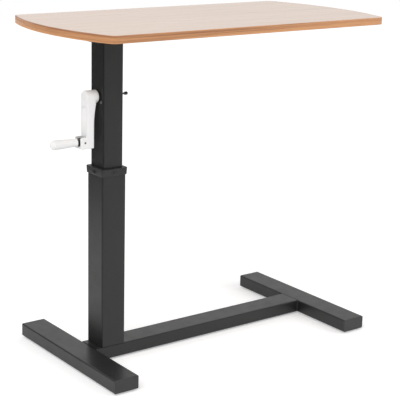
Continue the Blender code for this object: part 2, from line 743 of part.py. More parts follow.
def add_wood_screws(lift, end, plate_x, plate, board, zinc):
    """Countersunk screws at the corners of a cross plate, with their holes in the plate and in the board."""
    side_x = PLATE_WIDTH / 2 - WOOD_SCREW_EDGE
    side_y = PLATE_LENGTH / 2 - WOOD_SCREW_EDGE
    sink = WOOD_SCREW_HEAD_RADIUS - WOOD_SCREW_RADIUS
    bite = SEAT_GAP + WOOD_SCREW_BITE

    def countersunk(gap, below, above):
        """Screw form or its hole, with the plate's lower face at zero."""
        return turned([
            (WOOD_SCREW_HEAD_RADIUS + gap, -below),
            (WOOD_SCREW_HEAD_RADIUS + gap, SEAT_GAP),
            (WOOD_SCREW_RADIUS + gap, SEAT_GAP + sink),
            (WOOD_SCREW_RADIUS + gap, PLATE_THICKNESS + bite + above),
        ], count=SCREW_STEPS)

    for number, (way_x, way_y) in enumerate(((-1, -1), (1, -1), (1, 1), (-1, 1)), 1):
        place = (plate_x + way_x * side_x, way_y * side_y, PLATE_TOP - PLATE_THICKNESS)
        hole = add_tool(
            f"wood_screw_hole_{end}_{number}",
            countersunk(SEAT_GAP, PLATE_THICKNESS, SEAT_GAP),
            place,
            parent=lift,
        )
        combine(plate, hole)
        combine(board, hole)
        add_piece(f"top_screw_{end}_{number}", countersunk(0, 0, 0), zinc, place, parent=lift)


def build_gearbox(lift, tube, steel, plastic, zinc):
    """Bracket inside the inner tube, its screws, the shaft's bushes and the screw's thrust bearing."""
    half_width = BRACKET_WIDTH / 2
    channel = [
        (-BRACKET_FACE, -WEB_BOTTOM),
        (BRACKET_FACE, -WEB_BOTTOM),
        (BRACKET_FACE, CHEEK_RISE),
        (CHEEK_INSIDE, CHEEK_RISE),
        (CHEEK_INSIDE, -WEB_TOP),
        (-CHEEK_INSIDE, -WEB_TOP),
        (-CHEEK_INSIDE, CHEEK_RISE),
        (-BRACKET_FACE, CHEEK_RISE),
    ]
    bracket = add_piece(
        "gear_bracket",
        loft([[Vector((x, y, z)) for x, z in channel] for y in (-half_width, half_width)]),
        steel,
        (0, 0, CRANK_Z),
        parent=lift,
    )
    across = 2 * TUBE_FACE
    shaft_hole = add_tool(
        "shaft_hole",
        turned([(BUSH_RADIUS + SEAT_GAP, -across), (BUSH_RADIUS + SEAT_GAP, across)]),
        (0, 0, CRANK_Z),
        TOWARDS["+X"],
        lift,
    )
    combine(tube, shaft_hole)
    combine(bracket, shaft_hole)
    combine(bracket, add_tool(
        "journal_hole",
        turned([
            (SCREW_JOURNAL_RADIUS + RUN_GAP, WEB_TOP - WEB_THICKNESS),
            (SCREW_JOURNAL_RADIUS + RUN_GAP, WEB_BOTTOM + WEB_THICKNESS),
        ]),
        (0, 0, CRANK_Z),
        TOWARDS["-Z"],
        lift,
    ))
    screw_z = CRANK_Z - GEARBOX_SCREW_DROP
    screw_length = TUBE_FACE - CHEEK_INSIDE + GEARBOX_SCREW_TIP
    for number, side_y in ((1, -GEARBOX_SCREW_SIDE), (2, GEARBOX_SCREW_SIDE)):
        hole = add_tool(
            f"gearbox_screw_hole_{number}",
            turned([
                (GEARBOX_SCREW_RADIUS + SEAT_GAP, -across),
                (GEARBOX_SCREW_RADIUS + SEAT_GAP, across),
            ], count=SCREW_STEPS),
            (0, side_y, screw_z),
            TOWARDS["+X"],
            lift,
        )
        combine(tube, hole)
        combine(bracket, hole)
        for side, way, face_x in (("near", "-X", -TUBE_FACE), ("far", "+X", TUBE_FACE)):
            add_piece(
                f"gearbox_screw_{side}_{number}",
                pan_screw(
                    GEARBOX_SCREW_RADIUS,
                    screw_length,
                    GEARBOX_SCREW_HEAD_RADIUS,
                    GEARBOX_SCREW_HEAD_HEIGHT,
                ),
                zinc,
                (face_x, side_y, screw_z),
                TOWARDS[way],
                lift,
            )
    bushes = (
        ("crank_bush", "-X", SHAFT_RADIUS, ESCUTCHEON_RADIUS, ESCUTCHEON_FACE),
        ("far_bush", "+X", SHAFT_GEAR_RADIUS, FAR_BUSH_FLANGE_RADIUS, FAR_BUSH_FACE),
    )
    for name, way, shaft_radius, flange_radius, flange_face in bushes:
        add_piece(
            name,
            turned([
                (shaft_radius + RUN_GAP, CHEEK_INSIDE),
                (BUSH_RADIUS, CHEEK_INSIDE),
                (BUSH_RADIUS, TUBE_FACE + SEAT_GAP),
                (flange_radius, TUBE_FACE + SEAT_GAP),
                (flange_radius, flange_face),
                (shaft_radius + RUN_GAP, flange_face),
            ], ring=True, count=FINE_STEPS),
            plastic,
            (0, 0, CRANK_Z),
            TOWARDS[way],
            lift,
        )
    add_piece(
        "thrust_bearing",
        turned([
            (SCREW_JOURNAL_RADIUS + RUN_GAP, 0),
            (BEARING_RADIUS, 0),
            (BEARING_RADIUS, BEARING_HEIGHT),
            (SCREW_JOURNAL_RADIUS + RUN_GAP, BEARING_HEIGHT),
        ], ring=True),
        zinc,
        (0, 0, CRANK_Z - BEARING_TOP),
        TOWARDS["-Z"],
        lift,
    )


def build_lead_screw(lift, zinc, brass):
    """Lead screw that hangs from the gearbox, with the driven gear on its upper end."""
    axis = add_empty("lead_screw_axis", (0, 0, CRANK_Z), TOWARDS["-Z"], lift)
    chamfer = SCREW_RADIUS / 4
    add_piece(
        "lead_screw",
        turned([
            (SCREW_GEAR_RADIUS, SHAFT_GEAR_RADIUS + END_CLEARANCE / 2),
            (SCREW_GEAR_RADIUS, GEAR_BACK),
            (SCREW_JOURNAL_RADIUS, GEAR_BACK + RUN_GAP / 2),
            (SCREW_JOURNAL_RADIUS, SHOULDER_TOP),
            (SCREW_SHOULDER_RADIUS, SHOULDER_TOP),
            (SCREW_SHOULDER_RADIUS, SHOULDER_BOTTOM),
            (SCREW_RADIUS, SHOULDER_BOTTOM),
            (SCREW_RADIUS, SCREW_END - chamfer),
            (SCREW_RADIUS - chamfer, SCREW_END),
        ]),
        zinc,
        parent=axis,
    )
    half_pitch = math.pi / GEAR_TEETH
    gear = bevel_gear(SCREW_GEAR_RADIUS + SEAT_GAP, math.pi + half_pitch)
    add_piece("driven_gear", gear, brass, parent=axis)


def build_crank_shaft(axis, dark, brass):
    """Shaft through the column with its gear, hub screw and end nut; returns the screw's seat."""
    drive = square(SHAFT_DRIVE_SIZE, SHARP_RADIUS)
    screw_hole = circle(HUB_SCREW_RADIUS + SEAT_GAP)
    stub_start = -FAR_BUSH_FACE - SHAFT_GEAR_RADIUS / 2
    add_piece(
        "crank_shaft",
        stack([
            (circle(SHAFT_STUB_RADIUS), -SHAFT_STUB_REACH),
            (circle(SHAFT_STUB_RADIUS), stub_start),
            (circle(SHAFT_GEAR_RADIUS), stub_start),
            (circle(SHAFT_GEAR_RADIUS), GEAR_BACK),
            (circle(SHAFT_RADIUS), GEAR_BACK + RUN_GAP / 2),
            (circle(SHAFT_RADIUS), HUB_INSIDE),
            (drive, HUB_INSIDE),
            (drive, DRIVE_END),
            (screw_hole, DRIVE_END),
            (screw_hole, DRIVE_END - HUB_SCREW_BITE - SEAT_GAP),
        ]),
        dark,
        parent=axis,
    )
    add_piece("drive_gear", bevel_gear(SHAFT_GEAR_RADIUS + SEAT_GAP, math.pi), brass, parent=axis)
    nut = hexagon(END_NUT_SIZE)
    nut_bore = circle(SHAFT_STUB_RADIUS + SEAT_GAP, len(nut))
    nut_start = -SHAFT_STUB_REACH + SEAT_GAP
    add_piece(
        "shaft_end_nut",
        stack([
            (nut, nut_start),
            (nut, nut_start + END_NUT_LENGTH),
            (nut_bore, nut_start + END_NUT_LENGTH),
            (nut_bore, nut_start),
        ], ring=True),
        dark,
        parent=axis,
    )
    head_seat = ARM_OUTSIDE - HUB_PLUG_HEIGHT - HUB_SCREW_HEAD_HEIGHT - SEAT_GAP
    add_piece(
        "hub_screw",
        pan_screw(
            HUB_SCREW_RADIUS,
            head_seat - DRIVE_END + HUB_SCREW_BITE,
            HUB_SCREW_HEAD_RADIUS,
            HUB_SCREW_HEAD_HEIGHT,
        ),
        dark,
        (0, 0, head_seat),
        parent=axis,
    )
    return head_seat


def knob_profile(clearance):
    """Radii of the knob along its axis from the hinge pin: a gentle swell that ends in a round nose."""
    nose_start = KNOB_END - KNOB_NOSE
    profile = []
    for step in range(KNOB_STEPS + 1):
        share = step / KNOB_STEPS
        swell = share * share * (3 - 2 * share)
        radius = KNOB_BASE_RADIUS + (KNOB_TIP_RADIUS - KNOB_BASE_RADIUS) * swell
        profile.append((radius + clearance, KNOB_START + (nose_start - KNOB_START) * share))
    for step in range(1, KNOB_STEPS):
        turn = math.pi / 2 * step / KNOB_STEPS
        profile.append((
            KNOB_TIP_RADIUS * math.cos(turn) + clearance,
            nose_start + (KNOB_NOSE + clearance) * math.sin(turn),
        ))
    return profile


def build_crank_arm(axis, head_seat, plastic, dark):
    """Moulded arm: plugged round hub, tapering neck, long groove for the folded knob, two ears at its end.

    The arm's own axes are +X up towards the hub and +Z out of the column. Its cross-sections are rounded
    rectangles from the foot of the ears up to the crown of the hub.
    """
    pin_up = -CRANK_RADIUS
    ear_top = pin_up + EAR_ABOVE_PIN
    ear_foot = pin_up - EAR_BELOW_PIN
    ear_reach = PIN_REACH + EAR_BEYOND_PIN
    half = ARM_WIDTH / 2
    sections = [
        (ear_foot, ARM_INSIDE + EAR_ROUNDING, ear_reach - EAR_ROUNDING, half - EAR_ROUNDING),
        (ear_foot + EAR_ROUNDING, ARM_INSIDE, ear_reach, half),
        (ear_top - EAR_ROUNDING, ARM_INSIDE, ear_reach, half),
        (ear_top, ARM_INSIDE, ear_reach - EAR_ROUNDING, half),
        (ear_top + EAR_ROUNDING / 4, ARM_INSIDE, ARM_OUTSIDE, half),
    ]
    neck_foot = -HUB_RADIUS - ARM_NECK_LENGTH
    for step in range(CORNER_STEPS + 1):
        share = step / CORNER_STEPS
        up = neck_foot + ARM_NECK_LENGTH * share
        width = half + (HUB_RADIUS - half) * share / 2
        sections.append((up, ARM_INSIDE - ARM_NECK_RISE * share**2, ARM_OUTSIDE, width))
    crown_steps = 2 * CORNER_STEPS
    for step in range(crown_steps):
        turn = math.pi / 2 * step / crown_steps
        crown = (HUB_RADIUS * math.sin(turn), HUB_RADIUS * math.cos(turn))
        sections.append((crown[0], ARM_INSIDE - ARM_NECK_RISE, ARM_OUTSIDE, crown[1]))
    loops = []
    for up, inside, outside, width in sections:
        outline = rounded_rectangle(2 * width, outside - inside, ARM_EDGE_RADIUS)
        loops.append([Vector((up, y, z + (inside + outside) / 2)) for y, z in outline])
    arm = add_piece("crank_arm", loft(loops), plastic, parent=axis)
    combine(arm, add_tool(
        "crank_hub",
        turned([
            (HUB_RADIUS - SEAT_GAP, HUB_INSIDE),
            (HUB_RADIUS - SEAT_GAP, ARM_INSIDE + ARM_EDGE_RADIUS),
        ], count=FINE_STEPS),
        parent=axis,
    ), "UNION")
    drive = square(SHAFT_DRIVE_SIZE + 2 * SEAT_GAP, SHARP_RADIUS)
    shank = circle(HUB_SCREW_RADIUS + SEAT_GAP)
    head = circle(HUB_SCREW_HEAD_RADIUS + SEAT_GAP)
    combine(arm, add_tool(
        "hub_bore",
        stack([
            (drive, HUB_INSIDE - ARM_EDGE_RADIUS),
            (drive, DRIVE_END + SEAT_GAP),
            (shank, DRIVE_END + SEAT_GAP),
            (shank, head_seat),
            (head, head_seat),
            (head, ARM_OUTSIDE + ARM_EDGE_RADIUS),
        ]),
        parent=axis,
    ))
    add_piece(
        "hub_plug",
        turned([(HUB_SCREW_HEAD_RADIUS, 0), (HUB_SCREW_HEAD_RADIUS, HUB_PLUG_HEIGHT)]),
        plastic,
        (0, 0, ARM_OUTSIDE - HUB_PLUG_HEIGHT),
        parent=axis,
    )
    mouth = 2 * max(EAR_BEYOND_PIN, EAR_ABOVE_PIN)
    slot = [(mouth, -SLOT_FLOOR), (mouth, mouth), (0.0, mouth)]
    for step in range(FINE_STEPS + 1):
        turn = math.pi / 2 + math.pi * step / FINE_STEPS
        slot.append((SLOT_FLOOR * math.cos(turn), SLOT_FLOOR * math.sin(turn)))
    slot_sides = []
    for side_y in (-SLOT_HALF, SLOT_HALF):
        slot_sides.append([Vector((pin_up + up, side_y, PIN_REACH + out)) for out, up in slot])
    combine(arm, add_tool("ear_slot", loft(slot_sides), parent=axis))
    groove = [(KNOB_BASE_RADIUS + GROOVE_CLEARANCE, 0.0)] + knob_profile(GROOVE_CLEARANCE)
    combine(arm, add_tool(
        "knob_groove",
        turned(groove, count=FINE_STEPS),
        (pin_up, 0, PIN_REACH),
        TOWARDS["+X"],
        axis,
    ))
    combine(arm, add_tool(
        "pin_bore",
        turned([(PIN_RADIUS + SEAT_GAP, -ARM_WIDTH), (PIN_RADIUS + SEAT_GAP, ARM_WIDTH)]),
        (pin_up, 0, PIN_REACH),
        TOWARDS["+Y"],
        axis,
    ))
    pin_half = ARM_WIDTH / 2 - PIN_SETBACK
    add_piece(
        "knob_hinge_pin",
        turned([(PIN_RADIUS, -pin_half), (PIN_RADIUS, pin_half)]),
        dark,
        (pin_up, 0, PIN_REACH),
        TOWARDS["+Y"],
        axis,
    )


def build_knob(axis, white, dark):
    """Spindle that hinges on the pin, and the knob that turns on the spindle."""
    hinge = add_empty("knob_hinge", (-CRANK_RADIUS, 0, PIN_REACH), parent=axis)
    neck_end = KNOB_START - RUN_GAP
    spindle_end = KNOB_END - KNOB_WALL
    spindle = add_piece(
        "knob_spindle",
        turned([
            (KNUCKLE_RADIUS - SEAT_GAP, 0),
            (KNUCKLE_RADIUS - SEAT_GAP, neck_end),
            (SPINDLE_RADIUS, neck_end),
            (SPINDLE_RADIUS, spindle_end),
        ]),
        dark,
        parent=hinge,
    )
    eye_half = SLOT_HALF - RUN_GAP
    combine(spindle, add_tool(
        "knuckle_eye",
        turned([(KNUCKLE_RADIUS, -eye_half), (KNUCKLE_RADIUS, eye_half)], count=FINE_STEPS),
        rotation=TOWARDS["+Y"],
        parent=hinge,
    ), "UNION")
    combine(spindle, add_tool(
        "knuckle_bore",
        turned([(PIN_RADIUS + RUN_GAP, -2 * eye_half), (PIN_RADIUS + RUN_GAP, 2 * eye_half)]),
        rotation=TOWARDS["+Y"],
        parent=hinge,
    ))
    bore = SPINDLE_RADIUS + RUN_GAP
    add_piece(
        "crank_knob",
        turned(
            [(bore, spindle_end + RUN_GAP), (bore, KNOB_START)] + knob_profile(0),
            count=FINE_STEPS,
        ),
        white,
        parent=hinge,
    )


def main():
    """Build the whole table."""
    clear_scene()
    steel = finish("powder_coated_steel", (0.018, 0.018, 0.019), 0.42)
    black = finish("black_plastic", (0.02, 0.02, 0.021), 0.48)
    zinc = finish("zinc_plated_steel", (0.55, 0.55, 0.56), 0.35, 1.0)
    dark = finish("dark_steel", (0.12, 0.12, 0.125), 0.4, 1.0)
    brass = finish("brass", (0.62, 0.45, 0.2), 0.35, 1.0)
    white = finish("white_plastic", (0.82, 0.82, 0.8), 0.4)
    laminate = finish("wood_laminate", (0.62, 0.45, 0.32), 0.45)
    edging = finish("wood_edging", (0.5, 0.3, 0.17), 0.5)
    build_floor_frame(steel, black)
    build_outer_column(steel, black, zinc, dark, brass)
    lift = add_empty("column_lift", (COLUMN_X, 0, 0))
    inner_tube = build_inner_column(lift, steel, black)
    build_top(lift, steel, black, zinc, laminate, edging)
    build_gearbox(lift, inner_tube, steel, black, zinc)
    build_lead_screw(lift, zinc, brass)
    crank = add_empty("crank_axis", (0, 0, CRANK_Z), TOWARDS["-X"], lift)
    head_seat = build_crank_shaft(crank, dark, brass)
    build_crank_arm(crank, head_seat, white, dark)
    build_knob(crank, white, dark)
    even_shading()


main()
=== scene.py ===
"""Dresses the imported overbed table: finer surfaces over the frame's solids, finishes, and a plain studio.

Lengths are in metres, in the frame's own axes: +Z is up and +X runs along the board to its free end.
"""

from __future__ import annotations

import logging
import math
from collections.abc import Sequence
from dataclasses import dataclass, replace
from enum import Enum
from typing import ClassVar

import bmesh
import bpy
import numpy as np
from mathutils import Matrix, Vector

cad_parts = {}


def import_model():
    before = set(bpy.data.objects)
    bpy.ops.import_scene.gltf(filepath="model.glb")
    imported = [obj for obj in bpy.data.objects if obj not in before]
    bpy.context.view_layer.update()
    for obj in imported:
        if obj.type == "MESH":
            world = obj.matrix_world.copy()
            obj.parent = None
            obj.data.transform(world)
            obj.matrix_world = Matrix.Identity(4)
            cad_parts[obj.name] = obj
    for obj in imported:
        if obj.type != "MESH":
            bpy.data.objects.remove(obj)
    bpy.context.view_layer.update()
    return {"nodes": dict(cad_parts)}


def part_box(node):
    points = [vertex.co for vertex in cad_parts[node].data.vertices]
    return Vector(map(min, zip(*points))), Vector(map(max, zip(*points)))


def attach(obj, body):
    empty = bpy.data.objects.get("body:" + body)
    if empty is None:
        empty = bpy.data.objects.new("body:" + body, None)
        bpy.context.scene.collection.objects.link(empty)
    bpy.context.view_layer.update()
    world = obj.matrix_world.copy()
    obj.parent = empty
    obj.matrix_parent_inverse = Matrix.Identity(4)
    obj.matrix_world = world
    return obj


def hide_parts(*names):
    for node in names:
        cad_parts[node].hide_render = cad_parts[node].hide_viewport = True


LOG = logging.getLogger("overbed_table")
# Point attribute that tells how far a point lies on a rubbed edge.
WEAR = "wear"
QUARTER = math.pi / 2
# Segments of a rounded corner, of a blended corner of a profile, and of a full turn.
CORNER_STEPS = 8
BLEND_STEPS = 4
TURN_STEPS = 48
# Distance of the points that keep a flat shading flat beside a round corner.
SUPPORT = 0.0004
# Gap or overlap of neighbouring faces that must not merge.
HAIRLINE = 0.00005
MERGE_DISTANCE = 2e-6
SHARP_ANGLE = math.radians(38)
# Longest blend at a corner, as a share of the side that it is taken from.
BLEND_LIMIT = 0.45

Socket = bpy.types.NodeSocket
Sockets = bpy.types.bpy_prop_collection
Colour = tuple[float, float, float, float]
Triple = tuple[float, float, float]
Pair = tuple[float, float]
FLOAT, COLOUR, VECTOR = "NodeSocketFloat", "NodeSocketColor", "NodeSocketVector"


class Way(Enum):
    """Direction of a piece's own z axis in the world, as the images of its x, y and z axes."""

    PLUS_X = ((0, 1, 0), (0, 0, 1), (1, 0, 0))
    MINUS_X = ((0, -1, 0), (0, 0, 1), (-1, 0, 0))
    PLUS_Y = ((0, 0, 1), (1, 0, 0), (0, 1, 0))
    MINUS_Y = ((1, 0, 0), (0, 0, 1), (0, -1, 0))
    PLUS_Z = ((1, 0, 0), (0, 1, 0), (0, 0, 1))
    MINUS_Z = ((1, 0, 0), (0, -1, 0), (0, 0, -1))

    @property
    def vector(self) -> np.ndarray:
        """Unit vector of the direction."""
        return np.array(self.value[2], dtype=float)

    @property
    def turn(self) -> np.ndarray:
        """Rows that turn local points into the world."""
        return np.array(self.value, dtype=float)


@dataclass(frozen=True)
class Box:
    """Lowest and highest corner of a CAD node at rest."""

    low: np.ndarray
    high: np.ndarray

    @classmethod
    def of(cls, node: str) -> Box:
        """Box of a node, by its name."""
        low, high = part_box(node)
        return cls(np.array(low, dtype=float), np.array(high, dtype=float))

    @property
    def centre(self) -> np.ndarray:
        """Middle of the box."""
        return (self.low + self.high) / 2

    @property
    def size(self) -> np.ndarray:
        """Lengths of the box along X, Y and Z."""
        return self.high - self.low

    def face(self, way: Way) -> np.ndarray:
        """Middle of the face that looks a given way."""
        return self.centre + way.vector * self.size / 2

    def along(self, way: Way) -> float:
        """Length of the box along a way."""
        return float(abs(way.vector @ self.size))

    def across(self, way: Way) -> np.ndarray:
        """Size of the box along the own x and y axes of a piece that runs a given way."""
        return np.abs(way.turn[:2] @ self.size)


@dataclass
class Sheet:
    """Grid of points: rows run along a piece, and columns run round it as a closed loop.

    Attributes:
        points: array of rows x columns x 3.
        ring: whether the last row joins the first.
        first_cap: whether a flat face closes the first row.
        last_cap: whether a flat face closes the last row.
        wear: how much each point lies on a rubbed edge, 0 to 1, as anything that spreads to rows x columns.
    """

    points: np.ndarray
    ring: bool = False
    first_cap: bool = False
    last_cap: bool = False
    wear: np.ndarray | float = 0.0

    def faces(self) -> list[list[int]]:
        """Number the corners of the faces.

        Returns:
            Point numbers of the quads between neighbouring rows and columns, and of the caps.
        """
        rows, columns = self.points.shape[:2]
        row = np.arange(rows if self.ring else rows - 1)[:, None] * columns
        above = (row + columns) % (rows * columns)
        column = np.arange(columns)[None, :]
        after = (column + 1) % columns
        quads = np.stack([row + column, row + after, above + after, above + column], axis=-1)
        faces = quads.reshape(-1, 4).tolist()
        if self.first_cap:
            faces.append(list(range(columns)))
        if self.last_cap:
            faces.append(list(range((rows - 1) * columns, rows * columns)))
        return faces

    def placed(self, way: Way, origin: Sequence[float]) -> Sheet:
        """Copy with its own z axis turned a given way and its own origin at a given place."""
        return replace(self, points=self.points @ way.turn + np.asarray(origin, dtype=float))


def full_turn(count: int = TURN_STEPS) -> np.ndarray:
    """Evenly spaced angles of a full turn."""
    return np.linspace(0.0, 2 * math.pi, count, endpoint=False)


def raised(outline: np.ndarray, height: float) -> np.ndarray:
    """Outline of points x 2, lifted to a height."""
    return np.column_stack([outline, np.full(len(outline), height)])


def rounded_rectangle(width: float, depth: float, radius: float) -> np.ndarray:
    """Outline of a rectangle with round corners.

    Each corner is a quarter circle about a point one radius in from both sides. A support point close to
    each end of the arc keeps the flats shading flat.

    Args:
        width: size along the first axis.
        depth: size along the second axis.
        radius: corner radius.

    Returns:
        Array of points x 2.
    """
    turn = (np.arange(4)[:, None] + np.linspace(0.0, 1.0, CORNER_STEPS + 1)) * QUARTER
    ray = np.stack([np.cos(turn), np.sin(turn)], axis=-1)
    tangent = np.stack([-np.sin(turn), np.cos(turn)], axis=-1)
    side = np.array([(1, 1), (-1, 1), (-1, -1), (1, -1)], dtype=float)
    centre = side * (np.array([width, depth]) / 2 - radius)
    corner = centre[:, None, :] + radius * ray
    first = corner[:, :1] - SUPPORT * tangent[:, :1]
    last = corner[:, -1:] + SUPPORT * tangent[:, -1:]
    return np.concatenate([first, corner, last], axis=1).reshape(-1, 2)


def corner_wear() -> np.ndarray:
    """Wear round a rounded rectangle: the sine of the share of a corner passed, and none on the flats."""
    corner = np.sin(math.pi * np.linspace(0.0, 1.0, CORNER_STEPS + 1))
    return np.tile(np.concatenate([[0.0], corner, [0.0]]), 4)


def rectangle_rows(size: Sequence[float], radius: float, profile: Sequence[Sequence[float]]) -> np.ndarray:
    """Rows of parallel rounded rectangles, one for each inset and height of a profile.

    Args:
        size: width and depth at no inset.
        radius: corner radius at no inset.
        profile: inset and height of each row.

    Returns:
        Array of rows x columns x 3.
    """
    rows = []
    for inset, height in profile:
        outline = rounded_rectangle(size[0] - 2 * inset, size[1] - 2 * inset, max(radius - inset, SUPPORT))
        rows.append(raised(outline, height))
    return np.array(rows)


def softened(profile: Sequence[Sequence[float]], radius: float, steps: int = BLEND_STEPS) -> np.ndarray:
    """Profile with its inner corners blended.

    A corner P gives way to a parabola between points A and B on its two sides, one radius away:
    (1 - t)^2 A + 2 t (1 - t) P + t^2 B.

    Args:
        profile: corner points.
        radius: length taken from each side, as far as the blend limit allows.
        steps: segments of each blend.

    Returns:
        Array of points x 2.
    """
    corners = np.asarray(profile, dtype=float)
    share = np.linspace(0.0, 1.0, steps + 1)[:, None]
    points = [corners[:1]]
    for before, corner, after in zip(corners, corners[1:], corners[2:]):
        start, end = (
            corner + side * min(BLEND_LIMIT, radius / max(np.linalg.norm(side), MERGE_DISTANCE))
            for side in (before - corner, after - corner)
        )
        points.append((1 - share) ** 2 * start + 2 * share * (1 - share) * corner + share**2 * end)
    points.append(corners[-1:])
    return np.concatenate(points)


def turned(profile: np.ndarray, count: int = TURN_STEPS) -> Sheet:
    """Solid of revolution with flat ends: each radius times the unit circle, at its height.

    Args:
        profile: radius and height of each row.
        count: points round the circle.

    Returns:
        The sheet about its own z axis.
    """
    turn = full_turn(count)
    radius, height = profile[:, :1], profile[:, 1:]
    points = np.stack([radius * np.cos(turn), radius * np.sin(turn), height + 0 * turn], axis=-1)
    return Sheet(points, first_cap=True, last_cap=True)


def turned_solid(profile: Sequence[Sequence[float]], blend: float, count: int = TURN_STEPS) -> Sheet:
    """Solid of revolution over a profile of radii and heights, whose corners are blended."""
    return turned(softened(profile, blend), count)


def turned_rod(radius: float, half: float, chamfer: float, blend: float, count: int = TURN_STEPS) -> Sheet:
    """Round rod with chamfered ends.

    Args:
        radius: its radius.
        half: half of its length.
        chamfer: width and height of the chamfers.
        blend: length of the blends at their corners.
        count: points round the circle.

    Returns:
        The sheet about its own middle, along z.
    """
    rim, shoulder = radius - chamfer, half - chamfer
    profile = ((rim, -half), (radius, -shoulder), (radius, shoulder), (rim, half))
    return turned_solid(profile, blend, count)


@dataclass(frozen=True)
class TubeStock:
    """Rectangular steel tube, and the moulded plugs that close its ends.

    Attributes:
        corner: outer corner radius.
        wall: wall thickness.
        flange: thickness of a plug's flange.
        arris: blend of the flange's front edge.
        depth: how far a plug reaches into the tube.
        clearance: gap between a plug and the wall.
        face_start: distance from the edge at which the flange's flat is held, in blends.
        worn_rows: rows over which the wear of the flange's edge fades out.
        worn_corner: wear of the flange's corners.
    """

    corner: float = 0.003
    wall: float = 0.002
    flange: float = 0.003
    arris: float = 0.0012
    depth: float = 0.014
    clearance: float = 0.0003
    face_start: float = 4.0
    worn_rows: float = 3.0
    worn_corner: float = 0.5

    def tube(self, node: str, way: Way) -> Sheet:
        """Open tube that fills a node's box: its outline and one a wall further in, joined at both ends.

        Args:
            node: name of the tube's node.
            way: direction of the tube.

        Returns:
            The sheet in the world, with wear along its outer corners.
        """
        box = Box.of(node)
        length = box.along(way)
        profile = ((0, 0), (0, length), (self.wall, length), (self.wall, 0))
        points = rectangle_rows(box.across(way), self.corner, profile)
        sheet = Sheet(points, ring=True, wear=corner_wear() * np.array([1, 1, 0, 0])[:, None])
        return sheet.placed(way, box.centre - way.vector * length / 2)

    def plug(self, node: str, way: Way) -> Sheet:
        """Tube plug: a block inside the tube, and a flange of the tube's outline with a soft front edge.

        Args:
            node: name of the plug's node.
            way: direction in which its flange looks.

        Returns:
            The sheet in the world, with wear along the flange's edge and corners.
        """
        box = Box.of(node)
        fit, face = self.wall + self.clearance, self.face_start * self.arris
        front = softened(((0, HAIRLINE), (0, self.flange), (face, self.flange)), self.arris, CORNER_STEPS)
        inside = np.array([(fit, -self.depth), (fit, HAIRLINE)])
        profile = np.concatenate([inside, front])
        edge_row = len(inside) + 1 + CORNER_STEPS / 2
        edge = np.clip(1 - np.abs(np.arange(len(profile)) - edge_row) / self.worn_rows, 0, 1)
        wear = np.maximum(edge[:, None], corner_wear() * self.worn_corner)
        points = rectangle_rows(box.across(way), self.corner, profile)
        sheet = Sheet(points, first_cap=True, last_cap=True, wear=wear)
        return sheet.placed(way, box.face(way) - way.vector * self.flange)


@dataclass(frozen=True)
class WeldBead:
    """Weld seam: a circle carried along a straight line.

    Its radius swells once every pitch, and falls to almost nothing at both ends as the root of the distance.

    Attributes:
        radius: mean radius.
        pitch: length of one ripple.
        swell: what a ripple adds to the radius, as a share of it.
        rows: rows of points to a ripple.
        columns: points round the circle.
        tip: least value under the root, so that both ends keep a small circle.
    """

    radius: float
    pitch: float = 0.0032
    swell: float = 0.1
    rows: int = 6
    columns: int = 12
    tip: float = 0.001

    def between(self, start: Sequence[float], end: Sequence[float]) -> Sheet:
        """Lay the seam between two points.

        Args:
            start: first end.
            end: second end.

        Returns:
            The sheet in the world.
        """
        first, run = np.asarray(start, dtype=float), np.subtract(end, start)
        length = float(np.linalg.norm(run))
        share = np.linspace(0.0, 1.0, int(length / self.pitch * self.rows))
        from_end = np.minimum(share, 1 - share) * length
        taper = np.sqrt(np.clip(from_end / (2 * self.radius), self.tip, 1.0))
        ripple = 1 + self.swell * np.sin(2 * math.pi * share * length / self.pitch)
        ahead = run / length
        upright = np.argmax(np.abs(ahead)) == 2
        aside = np.cross(ahead, Way.PLUS_X.vector if upright else Way.PLUS_Z.vector)
        turn = full_turn(self.columns)[:, None]
        circle = np.cos(turn) * aside + np.sin(turn) * np.cross(aside, ahead)
        line = first + run * share[:, None]
        points = line[:, None, :] + (self.radius * taper * ripple)[:, None, None] * circle
        return Sheet(points, first_cap=True, last_cap=True)


